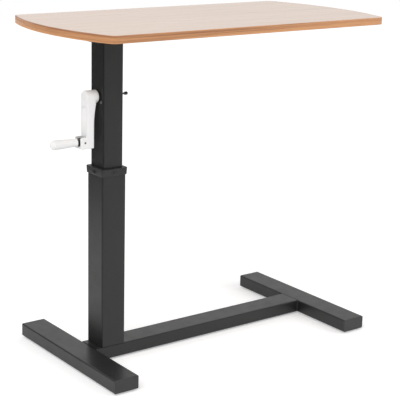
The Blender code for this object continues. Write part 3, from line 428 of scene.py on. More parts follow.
@dataclass(frozen=True)
class CrossScrew:
    """Screw with a cross recess.

    Over a polar grid the head's height is a flattened dome, h (1 - k r^4), less the depth of two crossed
    slots whose walls and ends fall off evenly. The shank is a cylinder below it.

    Attributes:
        radius: radius of the head.
        height: height h of the head.
        shank: radius of the shank.
        length: length of the shank.
        crown: share k of the height by which the rim lies lower than the middle.
        slot_depth: depth of the slots, as a share of the head's height.
        slot: half-length and half-width of a slot, as shares of the head's radius.
        fall: width over which its ends and its walls fall off, as shares of the head's radius.
        rings: circles of points on the head.
        spokes: points round the head.
        facets: points round the shank.
    """

    radius: float
    height: float
    shank: float
    length: float
    crown: float = 0.5
    slot_depth: float = 0.6
    slot: Pair = (0.66, 0.22)
    fall: Pair = (0.14, 0.1)
    rings: int = 18
    spokes: int = 40
    facets: int = 16

    def recess(self, along: np.ndarray, aside: np.ndarray) -> np.ndarray:
        """Share of the full depth in the slot that runs along the first argument."""
        ends, walls = (
            np.clip((half - np.abs(distance)) / fall, 0, 1)
            for half, distance, fall in zip(self.slot, (along, aside), self.fall)
        )
        return ends * walls

    def sheets(self, way: Way, seat: Sequence[float]) -> list[Sheet]:
        """Build the head and the shank.

        Args:
            way: direction in which the head looks.
            seat: middle of the head's underside.

        Returns:
            The sheets in the world, with wear on the rim as the eighth power of the radius.
        """
        reach = np.linspace(0.0, 1.0, self.rings)[:, None]
        turn = full_turn(self.spokes)
        x, y = reach * np.cos(turn), reach * np.sin(turn)
        recess = np.maximum(self.recess(x, y), self.recess(y, x))
        dome = self.height * (1 - self.crown * reach**4) - self.slot_depth * self.height * recess
        top = np.stack([self.radius * x, self.radius * y, dome], axis=-1)
        rim = top[-1:] * np.array([1, 1, 0])
        wear = np.concatenate([reach, [[1.0]]]) ** 8
        head = Sheet(np.concatenate([top, rim]), last_cap=True, wear=wear)
        shank = turned_solid(((self.shank, -self.length), (self.shank, HAIRLINE)), 0, self.facets)
        return [sheet.placed(way, seat) for sheet in (head, shank)]


class Shading:
    """Short way to add nodes to one node tree."""

    def __init__(self, tree: bpy.types.NodeTree) -> None:
        """Keep the tree that nodes are added to."""
        self.tree = tree

    def feed(self, node: bpy.types.Node, inputs: dict[str | int, object]) -> None:
        """Link inputs of a node to other sockets, or set their values.

        Args:
            node: the node.
            inputs: sockets or values, by the name or number of the input.
        """
        for name, value in inputs.items():
            if isinstance(value, bpy.types.NodeSocket):
                self.tree.links.new(value, node.inputs[name])
            else:
                node.inputs[name].default_value = value

    def add(self, kind: str, inputs: dict[str | int, object], **settings: object) -> bpy.types.Node:
        """Add a node.

        Args:
            kind: the node's type name.
            inputs: sockets or values for its inputs, by name or number.
            settings: the node's own properties.

        Returns:
            The new node.
        """
        node = self.tree.nodes.new(kind)
        for name, setting in settings.items():
            setattr(node, name, setting)
        self.feed(node, inputs)
        return node

    def group(self, tree: bpy.types.NodeTree, inputs: dict[str, object]) -> Sockets:
        """Outputs of a shared node group that is placed with its own values."""
        return self.add("ShaderNodeGroup", inputs, node_tree=tree).outputs

    def blend(self, factor: object, first: object, second: object) -> Socket:
        """Mix two colours.

        Args:
            factor: share of the second colour.
            first: first colour.
            second: second colour.

        Returns:
            The mixed colour.
        """
        node = self.add("ShaderNodeMix", {0: factor}, data_type="RGBA")
        numbers = [number for number, socket in enumerate(node.inputs) if socket.type == "RGBA"]
        self.feed(node, dict(zip(numbers, (first, second))))
        return next(socket for socket in node.outputs if socket.type == "RGBA")

    def spread(
        self, value: Socket, low: object, high: object, to_low: object = 0.0, to_high: object = 1.0,
    ) -> Socket:
        """Value carried from one range to another and held at its ends."""
        inputs = {"Value": value, "From Min": low, "From Max": high, "To Min": to_low, "To Max": to_high}
        return self.add("ShaderNodeMapRange", inputs).outputs["Result"]

    def combine(self, operation: str, first: object, second: object) -> Socket:
        """Result of a Math node."""
        return self.add("ShaderNodeMath", {0: first, 1: second}, operation=operation).outputs[0]

    def noise(self, vector: Socket, scale: object, detail: float, roughness: float = 0.55) -> Socket:
        """Cloudy value on a vector."""
        inputs = {"Vector": vector, "Scale": scale, "Detail": detail, "Roughness": roughness}
        return self.add("ShaderNodeTexNoise", inputs).outputs["Fac"]

    def bump(self, height: Socket, distance: float) -> Socket:
        """Normal of a relief whose full height is a given distance."""
        inputs = {"Strength": 1.0, "Distance": distance, "Height": height}
        return self.add("ShaderNodeBump", inputs).outputs["Normal"]


class Surface(Shading):
    """Nodes of a new material, with its shader and the Object coordinates."""

    def __init__(self, name: str) -> None:
        """Start the material.

        Args:
            name: the material's name.
        """
        self.material = bpy.data.materials.new(name)
        self.material.use_nodes = True
        super().__init__(self.material.node_tree)
        self.shader = self.tree.nodes["Principled BSDF"]
        self.place = self.add("ShaderNodeTexCoord", {}).outputs["Object"]

    def dressed(self, inputs: dict[str, object]) -> bpy.types.Material:
        """The material, after the shader's inputs are linked or set."""
        self.feed(self.shader, inputs)
        return self.material


def new_group(
    name: str, takes: dict[str, str], gives: dict[str, str],
) -> tuple[Shading, Sockets, bpy.types.Node]:
    """Start a shader node group.

    Args:
        name: the group's name.
        takes: names and socket types of its inputs.
        gives: names and socket types of its outputs.

    Returns:
        The group's shading, the sockets that bring its inputs, and the node that takes its outputs.
    """
    tree = bpy.data.node_groups.new(name, "ShaderNodeTree")
    for side, sockets in (("INPUT", takes), ("OUTPUT", gives)):
        for label, kind in sockets.items():
            tree.interface.new_socket(name=label, in_out=side, socket_type=kind)
    return Shading(tree), tree.nodes.new("NodeGroupInput").outputs, tree.nodes.new("NodeGroupOutput")


class SharedEffects:
    """Node groups that several finishes use.

    The noises are given as scale, detail and, where it is not the usual one, roughness. The ranges are the
    values of a noise that are spread to 0 and 1.
    """

    CLOUD_DETAIL = 4.0
    CLOUD_RANGE = (0.3, 0.7)
    PATCH_DETAIL = 5.0
    PATCH_RANGE = (0.4, 0.7)
    DRIFT = (0.35, 2.0)
    BANDS = (0.45, 2.0)
    STREAKS = (2.4, 3.0, 0.6)
    FIBRES = (26.0, 2.0)
    PORES = (9.0, 3.0)
    FIGURE_RANGE = (0.35, 0.65)
    PORE_RANGE = (0.56, 0.72)
    STREAK_MIDDLE = 0.52
    BAND_WEIGHT = 0.42
    STREAK_WEIGHT = 0.42
    FIBRE_WEIGHT = 0.16

    def __init__(self) -> None:
        """Build each group once."""
        self.mottle = self.build_mottle()
        self.rubbed = self.build_rubbed()
        self.grain = self.build_grain()

    def build_mottle(self) -> bpy.types.NodeTree:
        """Cloudy value between two limits.

        Returns:
            The group.
        """
        takes = {"Vector": VECTOR, "Scale": FLOAT, "Low": FLOAT, "High": FLOAT}
        shading, source, target = new_group("surface_mottle", takes, {"Value": FLOAT})
        cloud = shading.noise(source["Vector"], source["Scale"], self.CLOUD_DETAIL)
        value = shading.spread(cloud, *self.CLOUD_RANGE, source["Low"], source["High"])
        shading.feed(target, {"Value": value})
        return shading.tree

    def build_rubbed(self) -> bpy.types.NodeTree:
        """Colour that changes along rubbed edges, in patches, and the mask of the change.

        Returns:
            The group.
        """
        # On the coated steel the rubbed colour is darker, and paints dark shade lines along the corners
        # besides wear.
        takes = {"Vector": VECTOR, "Wear": FLOAT, "Scale": FLOAT, "Colour": COLOUR, "Rubbed": COLOUR}
        shading, source, target = new_group("rubbed_edges", takes, {"Colour": COLOUR, "Mask": FLOAT})
        cloud = shading.noise(source["Vector"], source["Scale"], self.PATCH_DETAIL)
        mask = shading.combine("MULTIPLY", source["Wear"], shading.spread(cloud, *self.PATCH_RANGE))
        colour = shading.blend(mask, source["Colour"], source["Rubbed"])
        shading.feed(target, {"Colour": colour, "Mask": mask})
        return shading.tree

    def build_grain(self) -> bpy.types.NodeTree:
        """Printed wood: broad bands, streaks and fine pores on coordinates stretched along the grain.

        Returns:
            The group.
        """
        takes = {"Vector": VECTOR, "Pores": FLOAT, "Softness": FLOAT}
        takes |= dict.fromkeys(("Pale", "Deep", "Pore"), COLOUR)
        shading, source, target = new_group("wood_grain", takes, {"Colour": COLOUR, "Height": FLOAT})
        drift = shading.noise(source["Vector"], *self.DRIFT)
        shift = {0: source["Vector"], 1: drift}
        bent = shading.add("ShaderNodeVectorMath", shift, operation="ADD").outputs[0]
        bands = shading.spread(shading.noise(bent, *self.BANDS), *self.FIGURE_RANGE)
        fade = source["Softness"]
        limits = (shading.combine(step, self.STREAK_MIDDLE, fade) for step in ("SUBTRACT", "ADD"))
        streaks = shading.spread(shading.noise(bent, *self.STREAKS), *limits)
        fibres = shading.spread(shading.noise(bent, *self.FIBRES), *self.FIGURE_RANGE)
        layers = ((bands, self.BAND_WEIGHT), (streaks, self.STREAK_WEIGHT), (fibres, self.FIBRE_WEIGHT))
        broad, fine, finest = (shading.combine("MULTIPLY", layer, weight) for layer, weight in layers)
        figure = shading.combine("ADD", shading.combine("ADD", broad, fine), finest)
        wood = shading.blend(figure, source["Pale"], source["Deep"])
        lines = shading.spread(shading.noise(bent, *self.PORES), *self.PORE_RANGE)
        marks = shading.combine("MULTIPLY", lines, source["Pores"])
        shading.feed(target, {
            "Colour": shading.blend(marks, wood, source["Pore"]),
            "Height": shading.combine("SUBTRACT", fibres, lines),
        })
        return shading.tree

    def clouds(self, surface: Surface, vector: Socket, scale: float, limits: Pair = (0.0, 1.0)) -> Socket:
        """Cloudy value in a material, between two limits."""
        inputs = {"Vector": vector, "Scale": scale, "Low": limits[0], "High": limits[1]}
        return surface.group(self.mottle, inputs)["Value"]


def grey(level: float, warmth: float = 0.0) -> Colour:
    """Opaque grey, a little warmer or cooler."""
    return (level * (1 + warmth), level, level * (1 - warmth), 1.0)


@dataclass(frozen=True)
class SkinFinish:
    """Coated or moulded surface: an even colour with faint clouds, a fine skin and rubbed edges.

    Attributes:
        name: the material's name.
        colour: its main colour.
        cloud: the colour of its clouds.
        rubbed: the colour of its rubbed edges; on the coated steel it is darker and also paints dark shade
            lines along the corners.
        roughness: lowest and highest roughness.
        skin_scale: how many bumps of the skin lie on a metre.
        skin_depth: height of the skin's bumps.
        wear: how far the edges are rubbed, 0 to 1.
        refraction: index of refraction.
        cloud_scale: how many clouds of colour lie on a metre.
        gloss_scale: how many clouds of gloss lie on a metre.
        patch_scale: how many rubbed patches lie on a metre of edge.
        polish: what full rubbing takes off the roughness.
    """

    name: str
    colour: Colour
    cloud: Colour
    rubbed: Colour
    roughness: Pair
    skin_scale: float
    skin_depth: float
    wear: float
    refraction: float
    cloud_scale: float = 9.0
    gloss_scale: float = 38.0
    patch_scale: float = 60.0
    polish: float = 0.1

    def material(self, effects: SharedEffects) -> bpy.types.Material:
        """Build the material.

        Args:
            effects: the shared node groups.

        Returns:
            The material.
        """
        surface = Surface(self.name)
        cloud = effects.clouds(surface, surface.place, self.cloud_scale)
        edge = surface.add("ShaderNodeAttribute", {}, attribute_name=WEAR).outputs["Fac"]
        rubbed = surface.group(effects.rubbed, {
            "Vector": surface.place,
            "Wear": surface.combine("MULTIPLY", edge, self.wear),
            "Scale": self.patch_scale,
            "Colour": surface.blend(cloud, self.colour, self.cloud),
            "Rubbed": self.rubbed,
        })
        gloss = effects.clouds(surface, surface.place, self.gloss_scale, self.roughness)
        polished = surface.combine("MULTIPLY", rubbed["Mask"], self.polish)
        skin = effects.clouds(surface, surface.place, self.skin_scale)
        return surface.dressed({
            "IOR": self.refraction,
            "Base Color": rubbed["Colour"],
            "Roughness": surface.combine("SUBTRACT", gloss, polished),
            "Normal": surface.bump(skin, self.skin_depth),
        })


@dataclass(frozen=True)
class MetalFinish:
    """Bare or plated metal with tarnish clouds and fine turning marks.

    Attributes:
        name: the material's name.
        bright: colour of the clean metal.
        dull: colour of its tarnish.
        roughness: lowest and highest roughness.
        tarnish_scale: how many clouds of tarnish lie on a metre.
        mark_scale: how many turning marks lie on a metre.
        mark_depth: height of the marks where the roughness changes by 1.
    """

    name: str
    bright: Colour
    dull: Colour
    roughness: Pair
    tarnish_scale: float = 140.0
    mark_scale: float = 420.0
    mark_depth: float = 0.00002

    def material(self, effects: SharedEffects) -> bpy.types.Material:
        """Build the material.

        Args:
            effects: the shared node groups.

        Returns:
            The material.
        """
        surface = Surface(self.name)
        tarnish = effects.clouds(surface, surface.place, self.tarnish_scale)
        marks = effects.clouds(surface, surface.place, self.mark_scale, self.roughness)
        return surface.dressed({
            "Metallic": 1.0,
            "Base Color": surface.blend(tarnish, self.bright, self.dull),
            "Roughness": marks,
            "Normal": surface.bump(marks, self.mark_depth),
        })


@dataclass(frozen=True)
class WoodFinish:
    """Wood print under a satin skin.

    Attributes:
        name: the material's name.
        pale: colour between the streaks.
        deep: colour of the streaks.
        pore: colour of the pores.
        pores: strength of the pores, 0 to 1.
        stretch: how fast the figure changes along X, Y and Z.
        roughness: lowest and highest roughness.
        relief: height of the grain.
        coat: weight of the clear skin.
        softness: how gently the streaks fade.
        gloss_scale: how many clouds of gloss lie on one length of the figure.
    """

    name: str
    pale: Colour
    deep: Colour
    pore: Colour
    pores: float
    stretch: Triple
    roughness: Pair
    relief: float
    coat: float
    softness: float
    gloss_scale: float = 4.0

    def material(self, effects: SharedEffects) -> bpy.types.Material:
        """Build the material.

        Args:
            effects: the shared node groups.

        Returns:
            The material.
        """
        surface = Surface(self.name)
        mapping = surface.add("ShaderNodeMapping", {"Vector": surface.place, "Scale": self.stretch})
        along = mapping.outputs["Vector"]
        grain = surface.group(effects.grain, {
            "Vector": along, "Pale": self.pale, "Deep": self.deep, "Pore": self.pore, "Pores": self.pores,
            "Softness": self.softness,
        })
        return surface.dressed({
            "Coat Weight": self.coat,
            "Coat Roughness": self.roughness[0],
            "Base Color": grain["Colour"],
            "Roughness": effects.clouds(surface, along, self.gloss_scale, self.roughness),
            "Normal": surface.bump(grain["Height"], self.relief),
        })


class Finish(Enum):
    """Every finish on the table."""

    # The coat's rubbed colour is darker than the coat: besides wear, it paints the dark lines that
    # reflections lay along the tube corners.
    COATED_STEEL = SkinFinish(
        "black_coated_steel", grey(0.014), grey(0.017), grey(0.009),
        roughness=(0.32, 0.4), skin_scale=900.0, skin_depth=0.00003, wear=0.6, refraction=1.43)
    WELD = SkinFinish(
        "coated_weld", grey(0.018), grey(0.024), grey(0.03),
        roughness=(0.34, 0.44), skin_scale=700.0, skin_depth=0.00008, wear=0.6, refraction=1.43)
    BLACK_PLASTIC = SkinFinish(
        "black_moulded_plastic", grey(0.015), grey(0.02), grey(0.04),
        roughness=(0.42, 0.52), skin_scale=1500.0, skin_depth=0.00003, wear=0.5, refraction=1.45)
    # Black plastic darker than the moulded black: it paints the shade in the gap between the crank hub and
    # the column.
    BUSH_PLASTIC_PAINTED_SHADE = SkinFinish(
        "black_bush_plastic_painted_shade", grey(0.005), grey(0.008), grey(0.012),
        roughness=(0.55, 0.65), skin_scale=1500.0, skin_depth=0.00003, wear=0.5, refraction=1.4)
    # Black plastic lighter than the moulded black: it paints the floor's light on the end faces of the feet.
    CAP_PLASTIC_PAINTED_LIGHT = SkinFinish(
        "black_cap_plastic_painted_light", grey(0.03), grey(0.037), grey(0.045),
        roughness=(0.44, 0.54), skin_scale=1300.0, skin_depth=0.00003, wear=0.5, refraction=1.45)
    WHITE_PLASTIC = SkinFinish(
        "white_moulded_plastic", grey(0.86), grey(0.83, 0.004), grey(0.78, 0.006),
        roughness=(0.3, 0.4), skin_scale=1100.0, skin_depth=0.00002, wear=0.4, refraction=1.46)
    ZINC = MetalFinish("zinc_plated_steel", grey(0.62), grey(0.45), roughness=(0.25, 0.4))
    DARK_STEEL = MetalFinish("oiled_dark_steel", grey(0.1), grey(0.06), roughness=(0.32, 0.45))
    DULL_STEEL = MetalFinish("dull_steel", grey(0.34), grey(0.2), roughness=(0.32, 0.45))
    BRASS = MetalFinish(
        "machined_brass", (0.68, 0.47, 0.2, 1.0), (0.5, 0.33, 0.13, 1.0), roughness=(0.25, 0.4))
    LAMINATE = WoodFinish(
        "wood_laminate", (0.71, 0.53, 0.415, 1.0), (0.58, 0.415, 0.31, 1.0), (0.45, 0.3, 0.205, 1.0),
        pores=0.16, stretch=(1.0, 62.0, 62.0), roughness=(0.26, 0.36), relief=0.00001, coat=0.3,
        softness=0.17)
    EDGING = WoodFinish(
        "wood_edge_band", (0.73, 0.36, 0.16, 1.0), (0.3, 0.122, 0.05, 1.0), (0.2, 0.078, 0.032, 1.0),
        pores=0.4, stretch=(1.3, 1.3, 150.0), roughness=(0.36, 0.46), relief=0.00005, coat=0.0,
        softness=0.03)


def new_object(
    name: str, points: np.ndarray, faces: Sequence[Sequence[int]], material: bpy.types.Material,
) -> bpy.types.Object:
    """Put a mesh into the scene.

    Args:
        name: name of the object and its mesh.
        points: its points.
        faces: point numbers of its faces.
        material: its only material.

    Returns:
        The new object.
    """
    mesh = bpy.data.meshes.new(name)
    mesh.from_pydata(points.reshape(-1, 3).tolist(), [], faces)
    mesh.materials.append(material)
    thing = bpy.data.objects.new(name, mesh)
    bpy.context.scene.collection.objects.link(thing)
    return thing


class Palette:
    """Materials of the finishes, each built when it is first asked for."""

    def __init__(self) -> None:
        """Build the shared effects."""
        self.effects = SharedEffects()
        self.built: dict[Finish, bpy.types.Material] = {}

    def of(self, finish: Finish) -> bpy.types.Material:
        """Give the material of a finish.

        Args:
            finish: the finish.

        Returns:
            The material.
        """
        if finish not in self.built:
            self.built[finish] = finish.value.material(self.effects)
        return self.built[finish]


@dataclass
class Assembly:
    """Sub-assembly: joins sheets into pieces, gives them their finishes and hangs them on the bodies.

    Attributes:
        palette: the finishes.
    """

    palette: Palette

    def add(
        self, name: str, sheets: Sequence[Sheet], finish: Finish, body: str, stands_for: Sequence[str] = (),
    ) -> None:
        """Join sheets into one piece with closed seams and outward faces, and let it ride on a body.

        Args:
            name: the piece's name.
            sheets: its surfaces.
            finish: its finish.
            body: CAD body that it moves with.
            stands_for: names of the CAD nodes that it replaces.
        """
        blocks = [sheet.points.reshape(-1, 3) for sheet in sheets]
        starts = np.cumsum([0] + [len(block) for block in blocks])
        faces = []
        for start, sheet in zip(starts.tolist(), sheets):
            faces.extend([start + corner for corner in face] for face in sheet.faces())
        piece = new_object(name, np.concatenate(blocks), faces, self.palette.of(finish))
        mesh = piece.data
        wear = [np.broadcast_to(sheet.wear, sheet.points.shape[:2]).ravel() for sheet in sheets]
        attribute = mesh.attributes.new(WEAR, "FLOAT", "POINT")
        attribute.data.foreach_set("value", np.concatenate(wear).astype(np.float32))
        shell = bmesh.new()
        shell.from_mesh(mesh)
        bmesh.ops.remove_doubles(shell, verts=shell.verts, dist=MERGE_DISTANCE)
        bmesh.ops.recalc_face_normals(shell, faces=shell.faces)
        shell.to_mesh(mesh)
        shell.free()
        mesh.shade_smooth()
        mesh.set_sharp_from_angle(angle=SHARP_ANGLE)
        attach(piece, body)
        if stands_for:
            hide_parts(*stands_for)
        LOG.info("%s: %d faces on %s", name, len(mesh.polygons), body)

    def cover(self, node: str, make: str, sheets: Sequence[Sheet], finish: Finish, body: str) -> None:
        """Add a piece that stands for one node and is named for it and for how it is made."""
        self.add(f"{node}_{make}", sheets, finish, body, [node])

    def add_screw(
        self, screw: CrossScrew, node: str, way: Way, finish: Finish, body: str, proud: float = 0.0,
    ) -> None:
        """Add a screw that stands for a node, with its head looking a given way and proud of its box."""
        seat = Box.of(node).face(way) - way.vector * (screw.height - proud)
        self.cover(node, "turned", screw.sheets(way, seat), finish, body)


@dataclass
class FloorFrame(Assembly):
    """Two feet and the beam between them, with end caps, glides and welds."""

    stock: TubeStock = TubeStock()
    side_weld: WeldBead = WeldBead(radius=0.0024)
    under_weld: WeldBead = WeldBead(radius=0.0012)
    weld_proud: float = 0.0002
    glide_skirt: float = 0.0012
    glide_recess: float = 0.0045
    glide_blend: float = 0.0005
    glide_screw: CrossScrew = CrossScrew(radius=0.0038, height=0.001, shank=0.0018, length=0.01)

    def build(self) -> None:
        """Build and dress every piece of the floor frame."""
        tubes = {"post_foot_tube": Way.PLUS_Y, "free_foot_tube": Way.PLUS_Y, "base_beam_tube": Way.PLUS_X}
        for node, way in tubes.items():
            self.cover(node, "coated", [self.stock.tube(node, way)], Finish.COATED_STEEL, "base")
        for foot in ("post", "free"):
            for side, way in (("near", Way.MINUS_Y), ("far", Way.PLUS_Y)):
                cap = f"{foot}_foot_cap_{side}"
                # The cap finish is lighter than the black plastic, to paint the floor's light on the foot
                # ends.
                self.cover(cap, "moulded", [self.stock.plug(cap, way)], Finish.CAP_PLASTIC_PAINTED_LIGHT, "base")
                self.add_glide(f"{foot}_foot_glide_{side}")
        self.add_welds()

    def add_glide(self, node: str) -> None:
        """Add a round glide under a foot, with a sunk screw.

        Args:
            node: name of the glide's node.
        """
        box = Box.of(node)
        radius, height = box.size[0] / 2, box.size[2]
        profile = (
            (radius, 0), (radius, height - self.glide_skirt), (radius - self.glide_skirt, height),
            (self.glide_recess, height), (self.glide_recess, height / 2),
        )
        glide = turned_solid(profile, self.glide_blend).placed(Way.MINUS_Z, box.face(Way.PLUS_Z))
        self.cover(node, "moulded", [glide], Finish.BLACK_PLASTIC, "base")
        self.add(f"{node}_screw", self.glide_screw.sheets(Way.MINUS_Z, box.centre), Finish.ZINC, "base")

    def add_welds(self) -> None:
        """Add weld beads up both corners where the beam meets each foot, and along its underside."""
        beam, corner = Box.of("base_beam_tube"), self.stock.corner
        near, far = beam.low[1] - self.weld_proud, beam.high[1] + self.weld_proud
        bottom, low, high = beam.low[2], beam.low[2] + corner, beam.high[2] - corner
        for foot, x in (("post", beam.low[0]), ("free", beam.high[0])):
            beads = [self.side_weld.between((x, y, low), (x, y, high)) for y in (near, far)]
            beads.append(self.under_weld.between((x, near + corner, bottom), (x, far - corner, bottom)))
            self.add(f"{foot}_foot_welds", beads, Finish.WELD, "base")


@dataclass
class OuterColumn(Assembly):
    """Fixed outer tube with the guide collar on its upper end."""

    SCREWS: ClassVar[dict[str, Way]] = {
        "collar_screw_1": Way.MINUS_X,
        "collar_screw_2": Way.PLUS_X,
        "collar_screw_3": Way.MINUS_Y,
        "collar_screw_4": Way.PLUS_Y,
    }

    stock: TubeStock = TubeStock()
    screw: CrossScrew = CrossScrew(radius=0.003, height=0.0017, shank=0.0017, length=0.006)
    collar_corner: float = 0.0046
    collar_blend: float = 0.0008
    sleeve_corner: float = 0.0034
    sleeve_outside: float = 0.0277
    skirt_inside: float = 0.0303
    skirt_foot: float = 0.0324
    running_gap: float = 0.0004
    flare: float = 0.0008
    lip: float = 0.003
    skirt: float = 0.013
    pad_half_width: float = 0.0125
    pad_half_height: float = 0.0065
    pad_rise: float = 0.0008
    pad_rings: int = 14

    def build(self) -> None:
        """Build and dress the tube, the collar and its screws."""
        tube = self.stock.tube("outer_post_tube", Way.PLUS_Z)
        self.add("outer_post_coated", [tube], Finish.COATED_STEEL, "base", ["outer_post_tube"])
        collar = [self.collar(), *self.pads()]
        self.cover("guide_collar", "moulded", collar, Finish.BLACK_PLASTIC, "base")
        for node, way in self.SCREWS.items():
            self.add_screw(self.screw, node, way, Finish.DARK_STEEL, "base")

    def collar(self) -> Sheet:
        """Collar: a profile of half-widths and heights carried round a square with round corners.

        Returns:
            The sheet in the world, with wear along the corners of its skirt.
        """
        box = Box.of("guide_collar")
        top, seat = box.high[2], box.high[2] - self.lip
        inside = Box.of("inner_post_tube").size[0] / 2 + self.running_gap
        outer = softened((
            (self.skirt_inside, seat - self.skirt), (self.skirt_foot, seat - self.skirt),
            (self.skirt_foot + self.flare, top - self.flare), (self.skirt_foot, top), (inside, top),
            (inside, box.low[2]),
        ), self.collar_blend)
        inner = np.array([
            (self.sleeve_outside, box.low[2]), (self.sleeve_outside, seat + HAIRLINE),
            (self.skirt_inside, seat + HAIRLINE),
        ])
        profile = np.concatenate([outer, inner])
        rows = []
        for half, height in profile:
            radius = np.interp(half, (inside, self.skirt_foot), (self.sleeve_corner, self.collar_corner))
            rows.append(raised(rounded_rectangle(2 * half, 2 * half, float(radius)), height))
        wear = corner_wear() * (profile[:, :1] > self.skirt_inside)
        return Sheet(np.array(rows) + box.centre * np.array([1, 1, 0]), ring=True, wear=wear)

    def pads(self) -> list[Sheet]:
        """Low oval pads under the collar's screws: over a polar grid, the rise times 1 - r^6.

        Returns:
            The sheets in the world.
        """
        reach = np.sin(np.linspace(0.0, QUARTER, self.pad_rings))[:, None]
        turn = full_turn()
        rise = self.pad_rise * (1 - reach**6) + 0 * turn
        wide, high = self.pad_half_width * reach * np.cos(turn), self.pad_half_height * reach * np.sin(turn)
        dome = np.stack([wide, high, rise], axis=-1)
        foot = dome[-1:] - np.array([0, 0, 2 * self.pad_rise])
        pad = Sheet(np.concatenate([dome, foot]), last_cap=True)
        depth = self.screw.height + self.pad_rise
        seats = ((way, Box.of(node).face(way) - way.vector * depth) for node, way in self.SCREWS.items())
        return [pad.placed(way, seat) for way, seat in seats]


@dataclass
class InnerColumn(Assembly):
    """Rising inner tube with the bushes of the crank shaft and the gearbox screws."""

    stock: TubeStock = TubeStock()
    screw: CrossScrew = CrossScrew(radius=0.0032, height=0.0022, shank=0.0019, length=0.0058)
    escutcheon_height: float = 0.0025
    far_flange_height: float = 0.002
    flange_blend: float = 0.0009
    barrel: float = 0.007
    # Shares of a flange's height and radius: where its slope starts and ends, and the flat that closes it.
    slope_start: float = 0.6
    slope_end: float = 0.82
    flat: float = 0.3

    def build(self) -> None:
        """Build and dress the tube, the two bushes and the four gearbox screws."""
        tube = self.stock.tube("inner_post_tube", Way.PLUS_Z)
        self.add("inner_post_coated", [tube], Finish.COATED_STEEL, "lift", ["inner_post_tube"])
        self.add_bush("crank_bush", Way.MINUS_X, self.escutcheon_height)
        self.add_bush("far_bush", Way.PLUS_X, self.far_flange_height)
        # The far screws take the dark steel to paint the shade and the dark reflections on the column's far
        # side; the near ones are dull steel.
        sides = (("near", Way.MINUS_X, Finish.DULL_STEEL), ("far", Way.PLUS_X, Finish.DARK_STEEL))
        for side, way, finish in sides:
            for number in (1, 2):
                self.add_screw(self.screw, f"gearbox_screw_{side}_{number}", way, finish, "lift")

    def add_bush(self, node: str, way: Way, height: float) -> None:
        """Add a bush: a barrel in the tube's wall and a sloped flange outside it.

        Args:
            node: name of the bush's node.
            way: direction in which its flange looks.
            height: height of the flange.
        """
        box = Box.of(node)
        radius = box.size[1] / 2
        profile = (
            (self.barrel, height - box.along(way)), (self.barrel, 0),
            (radius, 0), (radius, self.slope_start * height),
            (self.slope_end * radius, height), (self.flat * radius, height),
        )
        bush = turned_solid(profile, self.flange_blend).placed(way, box.face(way) - way.vector * height)
        # The bush finish is darker than its plastic, to paint the shade in the gap round the crank hub.
        self.cover(node, "moulded", [bush], Finish.BUSH_PLASTIC_PAINTED_SHADE, "lift")


